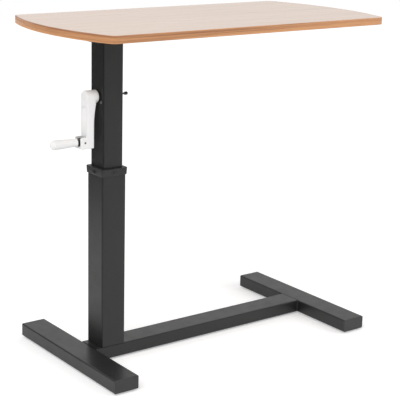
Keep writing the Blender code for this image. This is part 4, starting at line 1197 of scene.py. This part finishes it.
@dataclass
class Tabletop(Assembly):
    """Board with its edge band, and the rail, plates and screws under it."""

    end_bow: float = 0.038
    end_steps: int = 60
    corner: float = 0.018
    corner_steps: int = 12
    band: float = 0.002
    arris: float = 0.0012
    rail: TubeStock = TubeStock(wall=0.0015, arris=0.0009)
    rail_weld: WeldBead = WeldBead(radius=0.002)
    plate_corner: float = 0.008
    plate_edge: float = 0.0005
    plate_screws: int = 4
    # Each shank is as long as its node, less what the screw is short.
    screw: CrossScrew = CrossScrew(radius=0.004, height=0.0007, shank=0.002, length=0.0, crown=0.1)
    screw_proud: float = 0.0001
    screw_short: float = 0.001

    def build(self) -> None:
        """Build and dress every piece of the top."""
        top = Box.of("edge_band")
        inside = self.outline(top, self.band + HAIRLINE)
        board = np.array([raised(inside, height) for height in (top.low[2], top.high[2])])
        veneer = Sheet(board, first_cap=True, last_cap=True)
        self.add("tabletop_veneered", [veneer], Finish.LAMINATE, "lift", ["tabletop_board"])
        self.cover("edge_band", "printed", [self.edge_band(top)], Finish.EDGING, "lift")
        self.add_rail()
        for end in ("post", "free"):
            self.add_plate(end)

    def outline(self, top: Box, inset: float) -> np.ndarray:
        """Outline of the board, drawn in by an inset.

        The long sides are straight. Each end is an arc through its corners that bows out by the end bow, and
        a smaller arc that touches both rounds each corner. An inset shortens every radius by itself.

        Args:
            top: box of the whole board.
            inset: distance from the outer edge.

        Returns:
            Array of points x 2.
        """
        half_length, half_width = top.size[0] / 2, top.size[1] / 2
        bow = (half_width**2 + self.end_bow**2) / (2 * self.end_bow)
        middle = half_length - bow
        corner_y = half_width - self.corner
        corner_x = middle + math.sqrt((bow - self.corner) ** 2 - corner_y**2)
        swing = math.atan2(corner_y, corner_x - middle)
        low = np.linspace(-QUARTER, -swing, self.corner_steps, endpoint=False)
        long = np.linspace(-swing, swing, self.end_steps + 1)
        radius = self.corner - inset
        near = np.column_stack([corner_x + radius * np.cos(low), -corner_y + radius * np.sin(low)])
        end = np.column_stack([middle + (bow - inset) * np.cos(long), (bow - inset) * np.sin(long)])
        far = near[::-1] * np.array([1, -1])
        free_end = np.concatenate([near, end, far])
        return np.concatenate([free_end, -free_end]) + top.centre[:2]

    def edge_band(self, top: Box) -> Sheet:
        """Band round the board: a strip with soft outer edges, carried round the outline.

        Args:
            top: box of the whole board.

        Returns:
            The sheet in the world.
        """
        low, high = top.low[2], top.high[2]
        strip = ((self.band, low), (0, low), (0, high), (self.band, high))
        profile = softened(strip, self.arris, CORNER_STEPS)
        rows = [raised(self.outline(top, inset), height) for inset, height in profile]
        return Sheet(np.array(rows), ring=True)

    def add_rail(self) -> None:
        """Add the rail along the underside, with its two end caps and its welds to the column."""
        tube = self.rail.tube("top_rail_tube", Way.PLUS_X)
        self.add("top_rail_coated", [tube], Finish.COATED_STEEL, "lift", ["top_rail_tube"])
        for node, way in (("top_rail_cap_post", Way.MINUS_X), ("top_rail_cap_free", Way.PLUS_X)):
            self.cover(node, "moulded", [self.rail.plug(node, way)], Finish.CAP_PLASTIC_PAINTED_LIGHT, "lift")
        post, bottom = Box.of("inner_post_tube"), Box.of("top_rail_tube").low[2]
        near, far = post.low[1] + self.rail.corner, post.high[1] - self.rail.corner
        sides = (post.low[0], post.high[0])
        beads = [self.rail_weld.between((x, near, bottom), (x, far, bottom)) for x in sides]
        self.add("top_rail_welds", beads, Finish.WELD, "lift")

    def add_plate(self, end: str) -> None:
        """Add a cross plate under the board, with its countersunk screws.

        Args:
            end: end of the board at which the plate lies.
        """
        node = f"cross_plate_{end}"
        box = Box.of(node)
        inset, thickness = self.plate_corner / 2, box.size[2]
        profile = softened(((inset, 0), (0, 0), (0, thickness), (inset, thickness)), self.plate_edge)
        points = rectangle_rows(box.size[:2], self.plate_corner, profile)
        plate = Sheet(points, first_cap=True, last_cap=True).placed(Way.PLUS_Z, box.face(Way.MINUS_Z))
        self.cover(node, "coated", [plate], Finish.COATED_STEEL, "lift")
        for number in range(1, self.plate_screws + 1):
            node = f"top_screw_{end}_{number}"
            screw = replace(self.screw, length=Box.of(node).along(Way.MINUS_Z) - self.screw_short)
            self.add_screw(screw, node, Way.MINUS_Z, Finish.ZINC, "lift", self.screw_proud)


@dataclass
class Knob(Assembly):
    """Turning knob on a spindle that folds about the hinge pin; distances run from the pin to its tip."""

    start: float = 0.0135
    length: float = 0.0625
    base_radius: float = 0.0088
    tip_radius: float = 0.0105
    bore: float = 0.0034
    mouth: float = 0.001
    mouth_blend: float = 0.0009
    swell_rows: int = 24
    nose: float = 0.008
    nose_rows: int = 20
    # First and last angle of the rows on the nose, which leave out the doubled row and the pole.
    nose_turn: Pair = (0.05, QUARTER - 0.03)
    spindle_end: float = 0.066
    spindle_radius: float = 0.003
    spindle_blend: float = 0.0004
    knuckle_radius: float = 0.0075
    knuckle_half: float = 0.0094
    knuckle_chamfer: float = 0.0008
    neck_radius: float = 0.0072
    neck_end: float = 0.0131

    def radius_at(self, along: np.ndarray, clearance: float = 0.0) -> np.ndarray:
        """Radius of the knob: a smooth swell from base to tip, then a round nose.

        Args:
            along: distance from the pin.
            clearance: gap left all round.

        Returns:
            The radius, or 0 beyond the nose.
        """
        nose_start = self.start + self.length - self.nose
        share = np.clip((along - self.start) / (nose_start - self.start), 0, 1)
        growth = self.tip_radius - self.base_radius
        swell = self.base_radius + growth * share**2 * (3 - 2 * share) + clearance
        past = np.clip((along - nose_start) / (self.nose + clearance), 0, 1)
        return np.where(along > nose_start, swell * np.sqrt(1 - past**2), swell)

    def reach_of(self, radius: float, clearance: float) -> float:
        """Distance from the pin at which the nose, with a gap all round, has shrunk to a radius."""
        share = radius / (self.tip_radius + clearance)
        return self.start + self.length - self.nose + (self.nose + clearance) * math.sqrt(1 - share**2)

    def build(self, hinge: np.ndarray) -> None:
        """Build and dress the spindle and the knob.

        Args:
            hinge: middle of the hinge pin.
        """
        knuckle = turned_rod(self.knuckle_radius, self.knuckle_half, self.knuckle_chamfer, self.spindle_blend)
        stem = turned_solid((
            (self.neck_radius, 0), (self.neck_radius, self.neck_end), (self.spindle_radius, self.neck_end),
            (self.spindle_radius, self.spindle_end),
        ), self.spindle_blend)
        spindle = [knuckle.placed(Way.PLUS_Y, hinge), stem.placed(Way.MINUS_X, hinge)]
        self.cover("knob_spindle", "turned", spindle, Finish.DARK_STEEL, "knob_carrier")
        tip = self.start + self.length
        swell = np.linspace(self.start + self.mouth, tip - self.nose, self.swell_rows)
        nose = tip - self.nose * (1 - np.sin(np.linspace(*self.nose_turn, self.nose_rows)))
        along = np.concatenate([swell, nose])
        skin = np.column_stack([self.radius_at(along), along])
        mouth = softened((
            (self.bore, self.spindle_end), (self.bore, self.start), (self.base_radius, self.start), skin[0],
        ), self.mouth_blend)
        shell = turned(np.concatenate([mouth, skin[1:]])).placed(Way.MINUS_X, hinge)
        self.cover("crank_knob", "moulded", [shell], Finish.WHITE_PLASTIC, "knob")


@dataclass
class Crank(Assembly):
    """Folding crank arm beside the column; up runs along the arm to its hub, and out away from the column."""

    knob: Knob
    hub_radius: float = 0.0145
    hub_inside: float = 0.0282
    boss_inset: float = 0.0003
    boss_chamfer: float = 0.001
    boss_blend: float = 0.0006
    boss_facets: int = 96
    arm_inside: float = 0.0405
    arm_outside: float = 0.0575
    half_width: float = 0.015
    neck_half_width: float = 0.01475
    neck_length: float = 0.047
    neck_rise: float = 0.005
    edge: float = 0.003
    pin_drop: float = 0.095
    pin_reach: float = 0.063
    pin_radius: float = 0.0025
    pin_proud: float = 0.0003
    pin_chamfer: float = 0.0006
    pin_blend: float = 0.0003
    pin_facets: int = 32
    ear_above: float = 0.0105
    ear_below: float = 0.014
    ear_beyond: float = 0.0095
    ear_rounding: float = 0.002
    ear_rows: int = 24
    slot_half: float = 0.0098
    slot_floor: float = 0.0085
    # Powers of the superellipse of the slot, above the pin and round it.
    upper_power: float = 4.0
    lower_power: float = 8.0
    groove_clearance: float = 0.0008
    groove_end: float = 0.012
    groove_rows: int = 24
    groove_end_rows: int = 20
    neck_rows: int = 18
    crown_rows: int = 40
    face_columns: int = 4
    channel_columns: int = 17
    # Height over which the section jumps at the slot's sill and at the top of the ears.
    step: float = 0.0001
    plug_radius: float = 0.0042
    plug_groove: float = 0.0003
    plug_depth: float = 0.002
    plug_blend: float = 0.0008

    @property
    def foot(self) -> float:
        """Height of the lower end of the arm."""
        return -self.pin_drop - self.ear_below

    @property
    def ear_top(self) -> float:
        """Height of the upper end of the ears."""
        return -self.pin_drop + self.ear_above

    @staticmethod
    def axis() -> np.ndarray:
        """Point where the crank's axis crosses the middle of the column."""
        post = Box.of("inner_post_tube")
        return np.array([post.centre[0], post.centre[1], Box.of("crank_bush").centre[2]])

    def hinge(self) -> np.ndarray:
        """Middle of the hinge pin."""
        return self.axis() + np.array([-self.pin_reach, 0, -self.pin_drop])

    def build(self) -> None:
        """Build and dress the arm, its plug and its pin."""
        radius = self.hub_radius - self.boss_inset
        boss = turned_solid((
            (radius - self.boss_chamfer, self.hub_inside), (radius, self.hub_inside + self.boss_chamfer),
            (radius, self.arm_inside + self.edge),
        ), self.boss_blend, self.boss_facets)
        arm = [self.arm(), boss.placed(Way.MINUS_X, self.axis())]
        self.cover("crank_arm", "moulded", arm, Finish.WHITE_PLASTIC, "crank")
        plug = turned_solid((
            (self.plug_radius, self.arm_outside - self.plug_depth),
            (self.plug_radius, self.arm_outside + self.plug_groove),
            (0.0, self.arm_outside + 2 * self.plug_groove),
        ), self.plug_blend).placed(Way.MINUS_X, self.axis())
        self.cover("hub_plug", "moulded", [plug], Finish.WHITE_PLASTIC, "crank")
        half = self.half_width + self.pin_proud
        pin = turned_rod(self.pin_radius, half, self.pin_chamfer, self.pin_blend, self.pin_facets)
        placed = pin.placed(Way.PLUS_Y, self.hinge())
        self.cover("knob_hinge_pin", "turned", [placed], Finish.DARK_STEEL, "crank")

    def rows(self) -> np.ndarray:
        """Heights at which the arm is cut, closer together where its section changes fast.

        Returns:
            The heights, from the foot to the crown.
        """
        quarter = np.linspace(0.0, QUARTER, CORNER_STEPS + 1)
        step, ear_top = self.step, self.ear_top
        sill = -self.pin_drop - self.slot_floor
        groove = self.knob.reach_of(self.pin_reach - self.arm_outside, self.groove_clearance) - self.pin_drop
        return np.unique(np.concatenate([
            self.foot + self.ear_rounding * (1 - np.cos(quarter)),
            (sill - 6 * step, sill - 3 * step, sill),
            np.linspace(sill + step, ear_top - self.ear_rounding, self.ear_rows),
            ear_top - self.ear_rounding * (1 - np.sin(quarter)),
            (ear_top + step, ear_top + 4 * step),
            np.linspace(ear_top + 10 * step, groove - self.groove_end, self.groove_rows),
            groove - self.groove_end * (1 - np.sin(np.linspace(0.0, QUARTER, self.groove_end_rows))),
            np.linspace(groove + 2 * step, 0.0, self.neck_rows),
            self.hub_radius * np.sin(np.linspace(0.0, QUARTER, self.crown_rows)),
        ]))

    def arm(self) -> Sheet:
        """Arm as one surface of half-sections across it, mirrored to the other side.

        A half-section runs from the middle of the inside face round an edge of small radius, up the side,
        round the outer edge, over the rim and down into the middle of the channel. In the hub the half-width
        is the root of R^2 - up^2, so the crown is round. In the ears the channel is a superellipse, and along
        the arm it is the circle in which the folded knob lies.

        Returns:
            The sheet in the world, with wear along its edges.
        """
        up = self.rows()[:, None]
        inside, outside = self.faces(up)
        turn = np.linspace(0.0, QUARTER, CORNER_STEPS + 1)[None, :]
        to_side = self.edge * (1 - np.sin(turn))
        hub_limit = np.where(up > 0, np.maximum(self.hub_radius - up, 0), self.edge)

        def depth(inset: np.ndarray) -> np.ndarray:
            """Depth of the rounded edge below its face at an inset from the side."""
            kept = np.minimum(inset, hub_limit)
            return self.edge - np.sqrt(np.maximum(2 * self.edge * kept - kept**2, 0))

        flat = np.linspace(0.0, 1.0, self.face_columns, endpoint=False)[None, :]
        face_width = self.half_width_at(up, np.minimum(self.edge, hub_limit))
        face_depth, side_depth = depth(np.full_like(up, self.edge)), depth(to_side)
        side_width = self.half_width_at(up, np.minimum(to_side, hub_limit))
        channel_y, channel_out = self.channel(up, outside)
        face_out = outside - face_depth
        over_rim = np.linspace(0.0, 1.0, self.face_columns)[None, 1:-1]
        rim = face_width + (channel_y[:, :1] - face_width) * over_rim
        half_y = np.concatenate([face_width * flat, side_width, side_width[:, ::-1], rim, channel_y], axis=1)
        half_out = np.concatenate([
            inside + face_depth + 0 * flat,
            inside + side_depth,
            (outside - side_depth)[:, ::-1],
            face_out + 0 * rim,
            np.minimum(channel_out, face_out),
        ], axis=1)
        corner = np.sin(2 * turn)
        half_wear = np.concatenate(
            [0 * flat, corner, corner[:, ::-1], 0 * rim[:1], 0 * channel_y[:1]], axis=1)
        y, out, wear = (
            np.concatenate([half, sign * half[:, -2:0:-1]], axis=1)
            for half, sign in ((half_y, -1), (half_out, 1), (half_wear, 1))
        )
        points = np.stack([-out, y, up + 0 * y], axis=-1) + self.axis()
        return Sheet(points, first_cap=True, wear=wear)

    def drawn_in(self, past: np.ndarray) -> np.ndarray:
        """How far the quarter circle that rounds the ears has drawn in, at a distance past its start."""
        rest = np.clip(self.ear_rounding - past, 0, self.ear_rounding)
        return self.ear_rounding - np.sqrt(self.ear_rounding**2 - rest**2)

    def faces(self, up: np.ndarray) -> tuple[np.ndarray, np.ndarray]:
        """Reach of the arm's inside and outside face.

        The inside draws in towards the column over the neck by the square of the share passed. The ears
        stand out further, and a quarter circle rounds their top and the foot of the arm.

        Args:
            up: heights, one to a row.

        Returns:
            The reach of both faces at each height.
        """
        share = np.clip((up + self.hub_radius + self.neck_length) / self.neck_length, 0, 1)
        foot_inset, top_inset = self.drawn_in(up - self.foot), self.drawn_in(self.ear_top - up)
        inside = self.arm_inside - self.neck_rise * share**2 + foot_inset
        ears = self.pin_reach + self.ear_beyond - foot_inset - top_inset
        return inside, np.where(up <= self.ear_top, ears, self.arm_outside)

    def half_width_at(self, up: np.ndarray, inset: np.ndarray) -> np.ndarray:
        """Half-width of the arm, less an inset from its side or from the hub's radius.

        Args:
            up: heights, one to a row.
            inset: the insets.

        Returns:
            The half-width at each height and inset.
        """
        heights = (-self.hub_radius - self.neck_length, -self.hub_radius, 0.0)
        straight = np.interp(up, heights, (self.half_width, self.neck_half_width, self.hub_radius))
        crown = np.sqrt(np.maximum((self.hub_radius - inset) ** 2 - np.maximum(up, 0) ** 2, 0))
        return np.where(up > 0, crown, straight - self.drawn_in(up - self.foot) - inset)

    def channel(self, up: np.ndarray, outside: np.ndarray) -> tuple[np.ndarray, np.ndarray]:
        """Half of the channel from its rim to its middle, as distance from the middle and reach.

        Args:
            up: heights, one to a row.
            outside: reach of the outer face at each height.

        Returns:
            Two arrays of rows x columns.
        """
        share = np.linspace(0.0, 1.0, self.channel_columns)[None, :]
        from_pin = up + self.pin_drop
        radius = self.knob.radius_at(from_pin, self.groove_clearance)
        below = self.pin_reach - self.arm_outside
        mouth = np.sqrt(np.maximum(radius**2 - below**2, 0))
        swing = np.arcsin(np.clip(mouth / np.maximum(radius, SUPPORT), 0, 1)) * (1 - share)
        groove_y = radius * np.sin(swing)
        groove_out = np.where(mouth > 0, self.pin_reach - radius * np.cos(swing), outside)
        arc = np.sqrt(np.maximum(self.slot_floor**2 - from_pin**2, 0))
        room = np.where(from_pin > 0, self.knob.base_radius + self.groove_clearance, 0)
        floor = self.pin_reach - np.maximum(arc, room)
        open_slot = np.clip((from_pin + self.slot_floor) / self.step, 0, 1)
        power = 2 / np.where(from_pin > self.slot_half / 2, self.upper_power, self.lower_power)
        slot_y = self.slot_half * np.cos(share * QUARTER).clip(0, 1) ** power
        slot_out = outside - (outside - floor) * open_slot * np.sin(share * QUARTER) ** power
        in_ears = from_pin <= self.ear_above
        return np.where(in_ears, slot_y, groove_y), np.where(in_ears, slot_out, groove_out)


class HiddenWorks(Assembly):
    """Finishes of the solids that stay as they are: the drive inside the columns and what holds it."""

    FINISHES: ClassVar[dict[str, Finish]] = {
        "post_base_plate": Finish.COATED_STEEL,
        "nut_pillar": Finish.COATED_STEEL,
        "gear_bracket": Finish.COATED_STEEL,
        "lower_guide_shoe": Finish.BLACK_PLASTIC,
        "post_bolt_inner": Finish.ZINC,
        "post_bolt_outer": Finish.ZINC,
        "lead_screw": Finish.ZINC,
        "thrust_bearing": Finish.ZINC,
        "lift_nut": Finish.BRASS,
        "drive_gear": Finish.BRASS,
        "driven_gear": Finish.BRASS,
        "crank_shaft": Finish.DARK_STEEL,
        "shaft_end_nut": Finish.DARK_STEEL,
        "hub_screw": Finish.DARK_STEEL,
    }

    def dress(self, nodes: dict[str, bpy.types.Object]) -> None:
        """Give each solid its finish.

        Args:
            nodes: the frame's solids by name.
        """
        for name, finish in self.FINISHES.items():
            nodes[name].data.materials.clear()
            nodes[name].data.materials.append(self.palette.of(finish))
            LOG.info("%s: %s", name, finish.name.lower())


@dataclass(frozen=True)
class PictureCamera:
    """Camera of the picture, whose frame is a square of a given number of pixels.

    Attributes:
        azimuth: turn of the camera round the object, in degrees.
        elevation: height of the camera above the horizon, in degrees.
        roll: turn of the camera about its own axis, in degrees.
        focal: focal length in pixels.
        middle: where the camera's axis meets the picture, in pixels from its upper left.
        origin: the object's origin in the camera's axes, to the right, up and ahead.
        frame: side of the picture in pixels.
        sensor: side of the sensor in millimetres.
        farthest: distance up to which the camera sees.
    """

    azimuth: float = -36.393
    elevation: float = 14.877
    roll: float = 1.245
    focal: float = 1206.754
    middle: Pair = (186.521, 196.165)
    origin: Triple = (0.020052, -0.325204, 2.869451)
    frame: float = 400.0
    sensor: float = 36.0
    farthest: float = 50.0

    def add(self) -> None:
        """Add the camera and make it the scene's own."""
        azimuth, elevation, roll = (math.radians(turn) for turn in (self.azimuth, self.elevation, self.roll))
        level = np.array([math.cos(azimuth), math.sin(azimuth), 0])
        ahead = np.array([math.sin(azimuth), -math.cos(azimuth), 0])
        back = ahead * math.cos(elevation) + Way.PLUS_Z.vector * math.sin(elevation)
        upright = np.cross(back, level)
        right = math.cos(roll) * level + math.sin(roll) * upright
        up = math.cos(roll) * upright - math.sin(roll) * level
        axes = np.array([right, up, back])
        eye = -axes.T @ (np.array(self.origin) * np.array([1, 1, -1]))
        lens = bpy.data.cameras.new("picture_camera")
        lens.sensor_fit = "HORIZONTAL"
        lens.sensor_width = self.sensor
        lens.lens = self.focal / self.frame * self.sensor
        lens.shift_x = (self.frame / 2 - self.middle[0]) / self.frame
        lens.shift_y = (self.middle[1] - self.frame / 2) / self.frame
        lens.clip_end = self.farthest
        camera = bpy.data.objects.new("picture_camera", lens)
        camera.matrix_world = Matrix.Translation(Vector(eye)) @ Matrix(axes.T.tolist()).to_4x4()
        bpy.context.scene.collection.objects.link(camera)
        bpy.context.scene.camera = camera


@dataclass(frozen=True)
class SoftLight:
    """Large square lamp that leaves no glare.

    Attributes:
        name: the lamp's name.
        place: where it stands.
        target: the point it looks at.
        size: length of its side.
        power: its power in watts.
    """

    name: str
    place: Triple
    target: Triple
    size: float
    power: float

    def add(self) -> None:
        """Add the lamp to the scene."""
        lamp = bpy.data.lights.new(self.name, "AREA")
        lamp.size = self.size
        lamp.energy = self.power
        holder = bpy.data.objects.new(self.name, lamp)
        holder.location = self.place
        holder.rotation_euler = (Vector(self.place) - Vector(self.target)).to_track_quat("Z", "Y").to_euler()
        holder.visible_glossy = False
        bpy.context.scene.collection.objects.link(holder)


def matt(level: float) -> dict[str, object]:
    """Shader inputs of a grey without gloss."""
    return {"Base Color": grey(level), "Roughness": 1.0, "Specular IOR Level": 0.0}


@dataclass(frozen=True)
class Curtain:
    """Curtain on an arc about the object, which shows only in the gloss of the surfaces.

    Attributes:
        name: the curtain's name.
        first: direction of its first end from the object, in degrees from +X.
        last: direction of its last end.
        level: its grey.
        radius: its distance from the object.
        height: how high it stands.
        thickness: its thickness.
        steps: segments of the arc.
    """

    name: str
    first: float
    last: float
    level: float
    radius: float = 1.5
    height: float = 0.7
    thickness: float = 0.01
    steps: int = 40

    def add(self) -> None:
        """Add the curtain: an upright strip carried along the arc."""
        turn = np.radians(np.linspace(self.first, self.last, self.steps + 1))[:, None]
        reach = self.radius + self.thickness * np.array([0, 1, 1, 0])
        height = self.height * np.array([0, 0, 1, 1])
        points = np.stack([reach * np.cos(turn), reach * np.sin(turn), height + 0 * turn], axis=-1)
        faces = Sheet(points, first_cap=True, last_cap=True).faces()
        curtain = new_object(self.name, points, faces, Surface(self.name).dressed(matt(self.level)))
        curtain.visible_camera = curtain.visible_diffuse = curtain.visible_shadow = False


@dataclass
class Studio:
    """White surroundings, a pale floor that keeps the shadow, curtains, soft lamps and the camera."""

    ambient: float = 0.64
    floor_half: float = 6.0
    floor_level: float = 0.86
    glow_reach: Pair = (0.5, 2.5)
    glow: Pair = (0.34, 0.5)
    lamps: tuple[SoftLight, ...] = (
        SoftLight("soft_light_left", (-2.7, -1.1, 2.6), target=(-0.1, 0.0, 0.45), size=3.0, power=62.0),
        SoftLight("soft_light_front", (1.9, -2.1, 1.4), target=(0.2, 0.0, 0.55), size=2.4, power=28.0),
    )
    curtains: tuple[Curtain, ...] = (
        Curtain("dark_curtain", first=112.0, last=275.0, level=0.02),
        Curtain("grey_curtain", first=280.0, last=335.0, level=0.95),
        Curtain("pale_curtain", first=15.0, last=95.0, level=0.9),
    )
    camera: PictureCamera = PictureCamera()

    def build(self) -> None:
        """Set up the surroundings."""
        bpy.context.scene.view_settings.view_transform = "Standard"
        self.add_world()
        self.add_floor()
        for item in (*self.lamps, *self.curtains, self.camera):
            item.add()

    @staticmethod
    def seen(shading: Shading) -> Socket:
        """Tell which rays see the white of the surroundings.

        Args:
            shading: nodes of the world or of the floor.

        Returns:
            1 for a ray from the camera, from a gloss or through a clear surface, and 0 for any other.
        """
        path = shading.add("ShaderNodeLightPath", {}).outputs
        mirrored = shading.combine("MAXIMUM", path["Is Glossy Ray"], path["Is Transmission Ray"])
        return shading.combine("MAXIMUM", path["Is Camera Ray"], mirrored)

    def add_world(self) -> None:
        """Add a white world, whose light on the object is lower than its white."""
        world = bpy.data.worlds.new("white_surroundings")
        world.use_nodes = True
        bpy.context.scene.world = world
        shading = Shading(world.node_tree)
        strength = shading.spread(self.seen(shading), 0.0, 1.0, self.ambient, 1.0)
        shading.feed(world.node_tree.nodes["Background"], {"Color": grey(1.0), "Strength": strength})

    def add_floor(self) -> None:
        """Add a pale floor that glows to the rays that see it, so that it is white where no shadow falls."""
        corners = np.array([(-1, -1, 0), (1, -1, 0), (1, 1, 0), (-1, 1, 0)]) * self.floor_half
        surface = Surface("pale_floor")
        reach = surface.add("ShaderNodeVectorMath", {0: surface.place}, operation="LENGTH").outputs["Value"]
        glow = surface.spread(reach, *self.glow_reach, *self.glow)
        strength = surface.combine("MULTIPLY", self.seen(surface), glow)
        glowing = {"Emission Color": grey(1.0), "Emission Strength": strength}
        material = surface.dressed(matt(self.floor_level) | glowing)
        floor = new_object("pale_floor", corners, [(0, 1, 2, 3)], material)


def main() -> None:
    """Load the frame, dress each sub-assembly and set up the studio."""
    logging.basicConfig(level=logging.INFO, format="%(message)s")
    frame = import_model()
    palette = Palette()
    knob = Knob(palette)
    crank = Crank(palette, knob)
    for assembly in (FloorFrame, OuterColumn, InnerColumn, Tabletop):
        assembly(palette).build()
    crank.build()
    knob.build(crank.hinge())
    HiddenWorks(palette).dress(frame["nodes"])
    Studio().build()


if __name__ == "__main__":
    main()
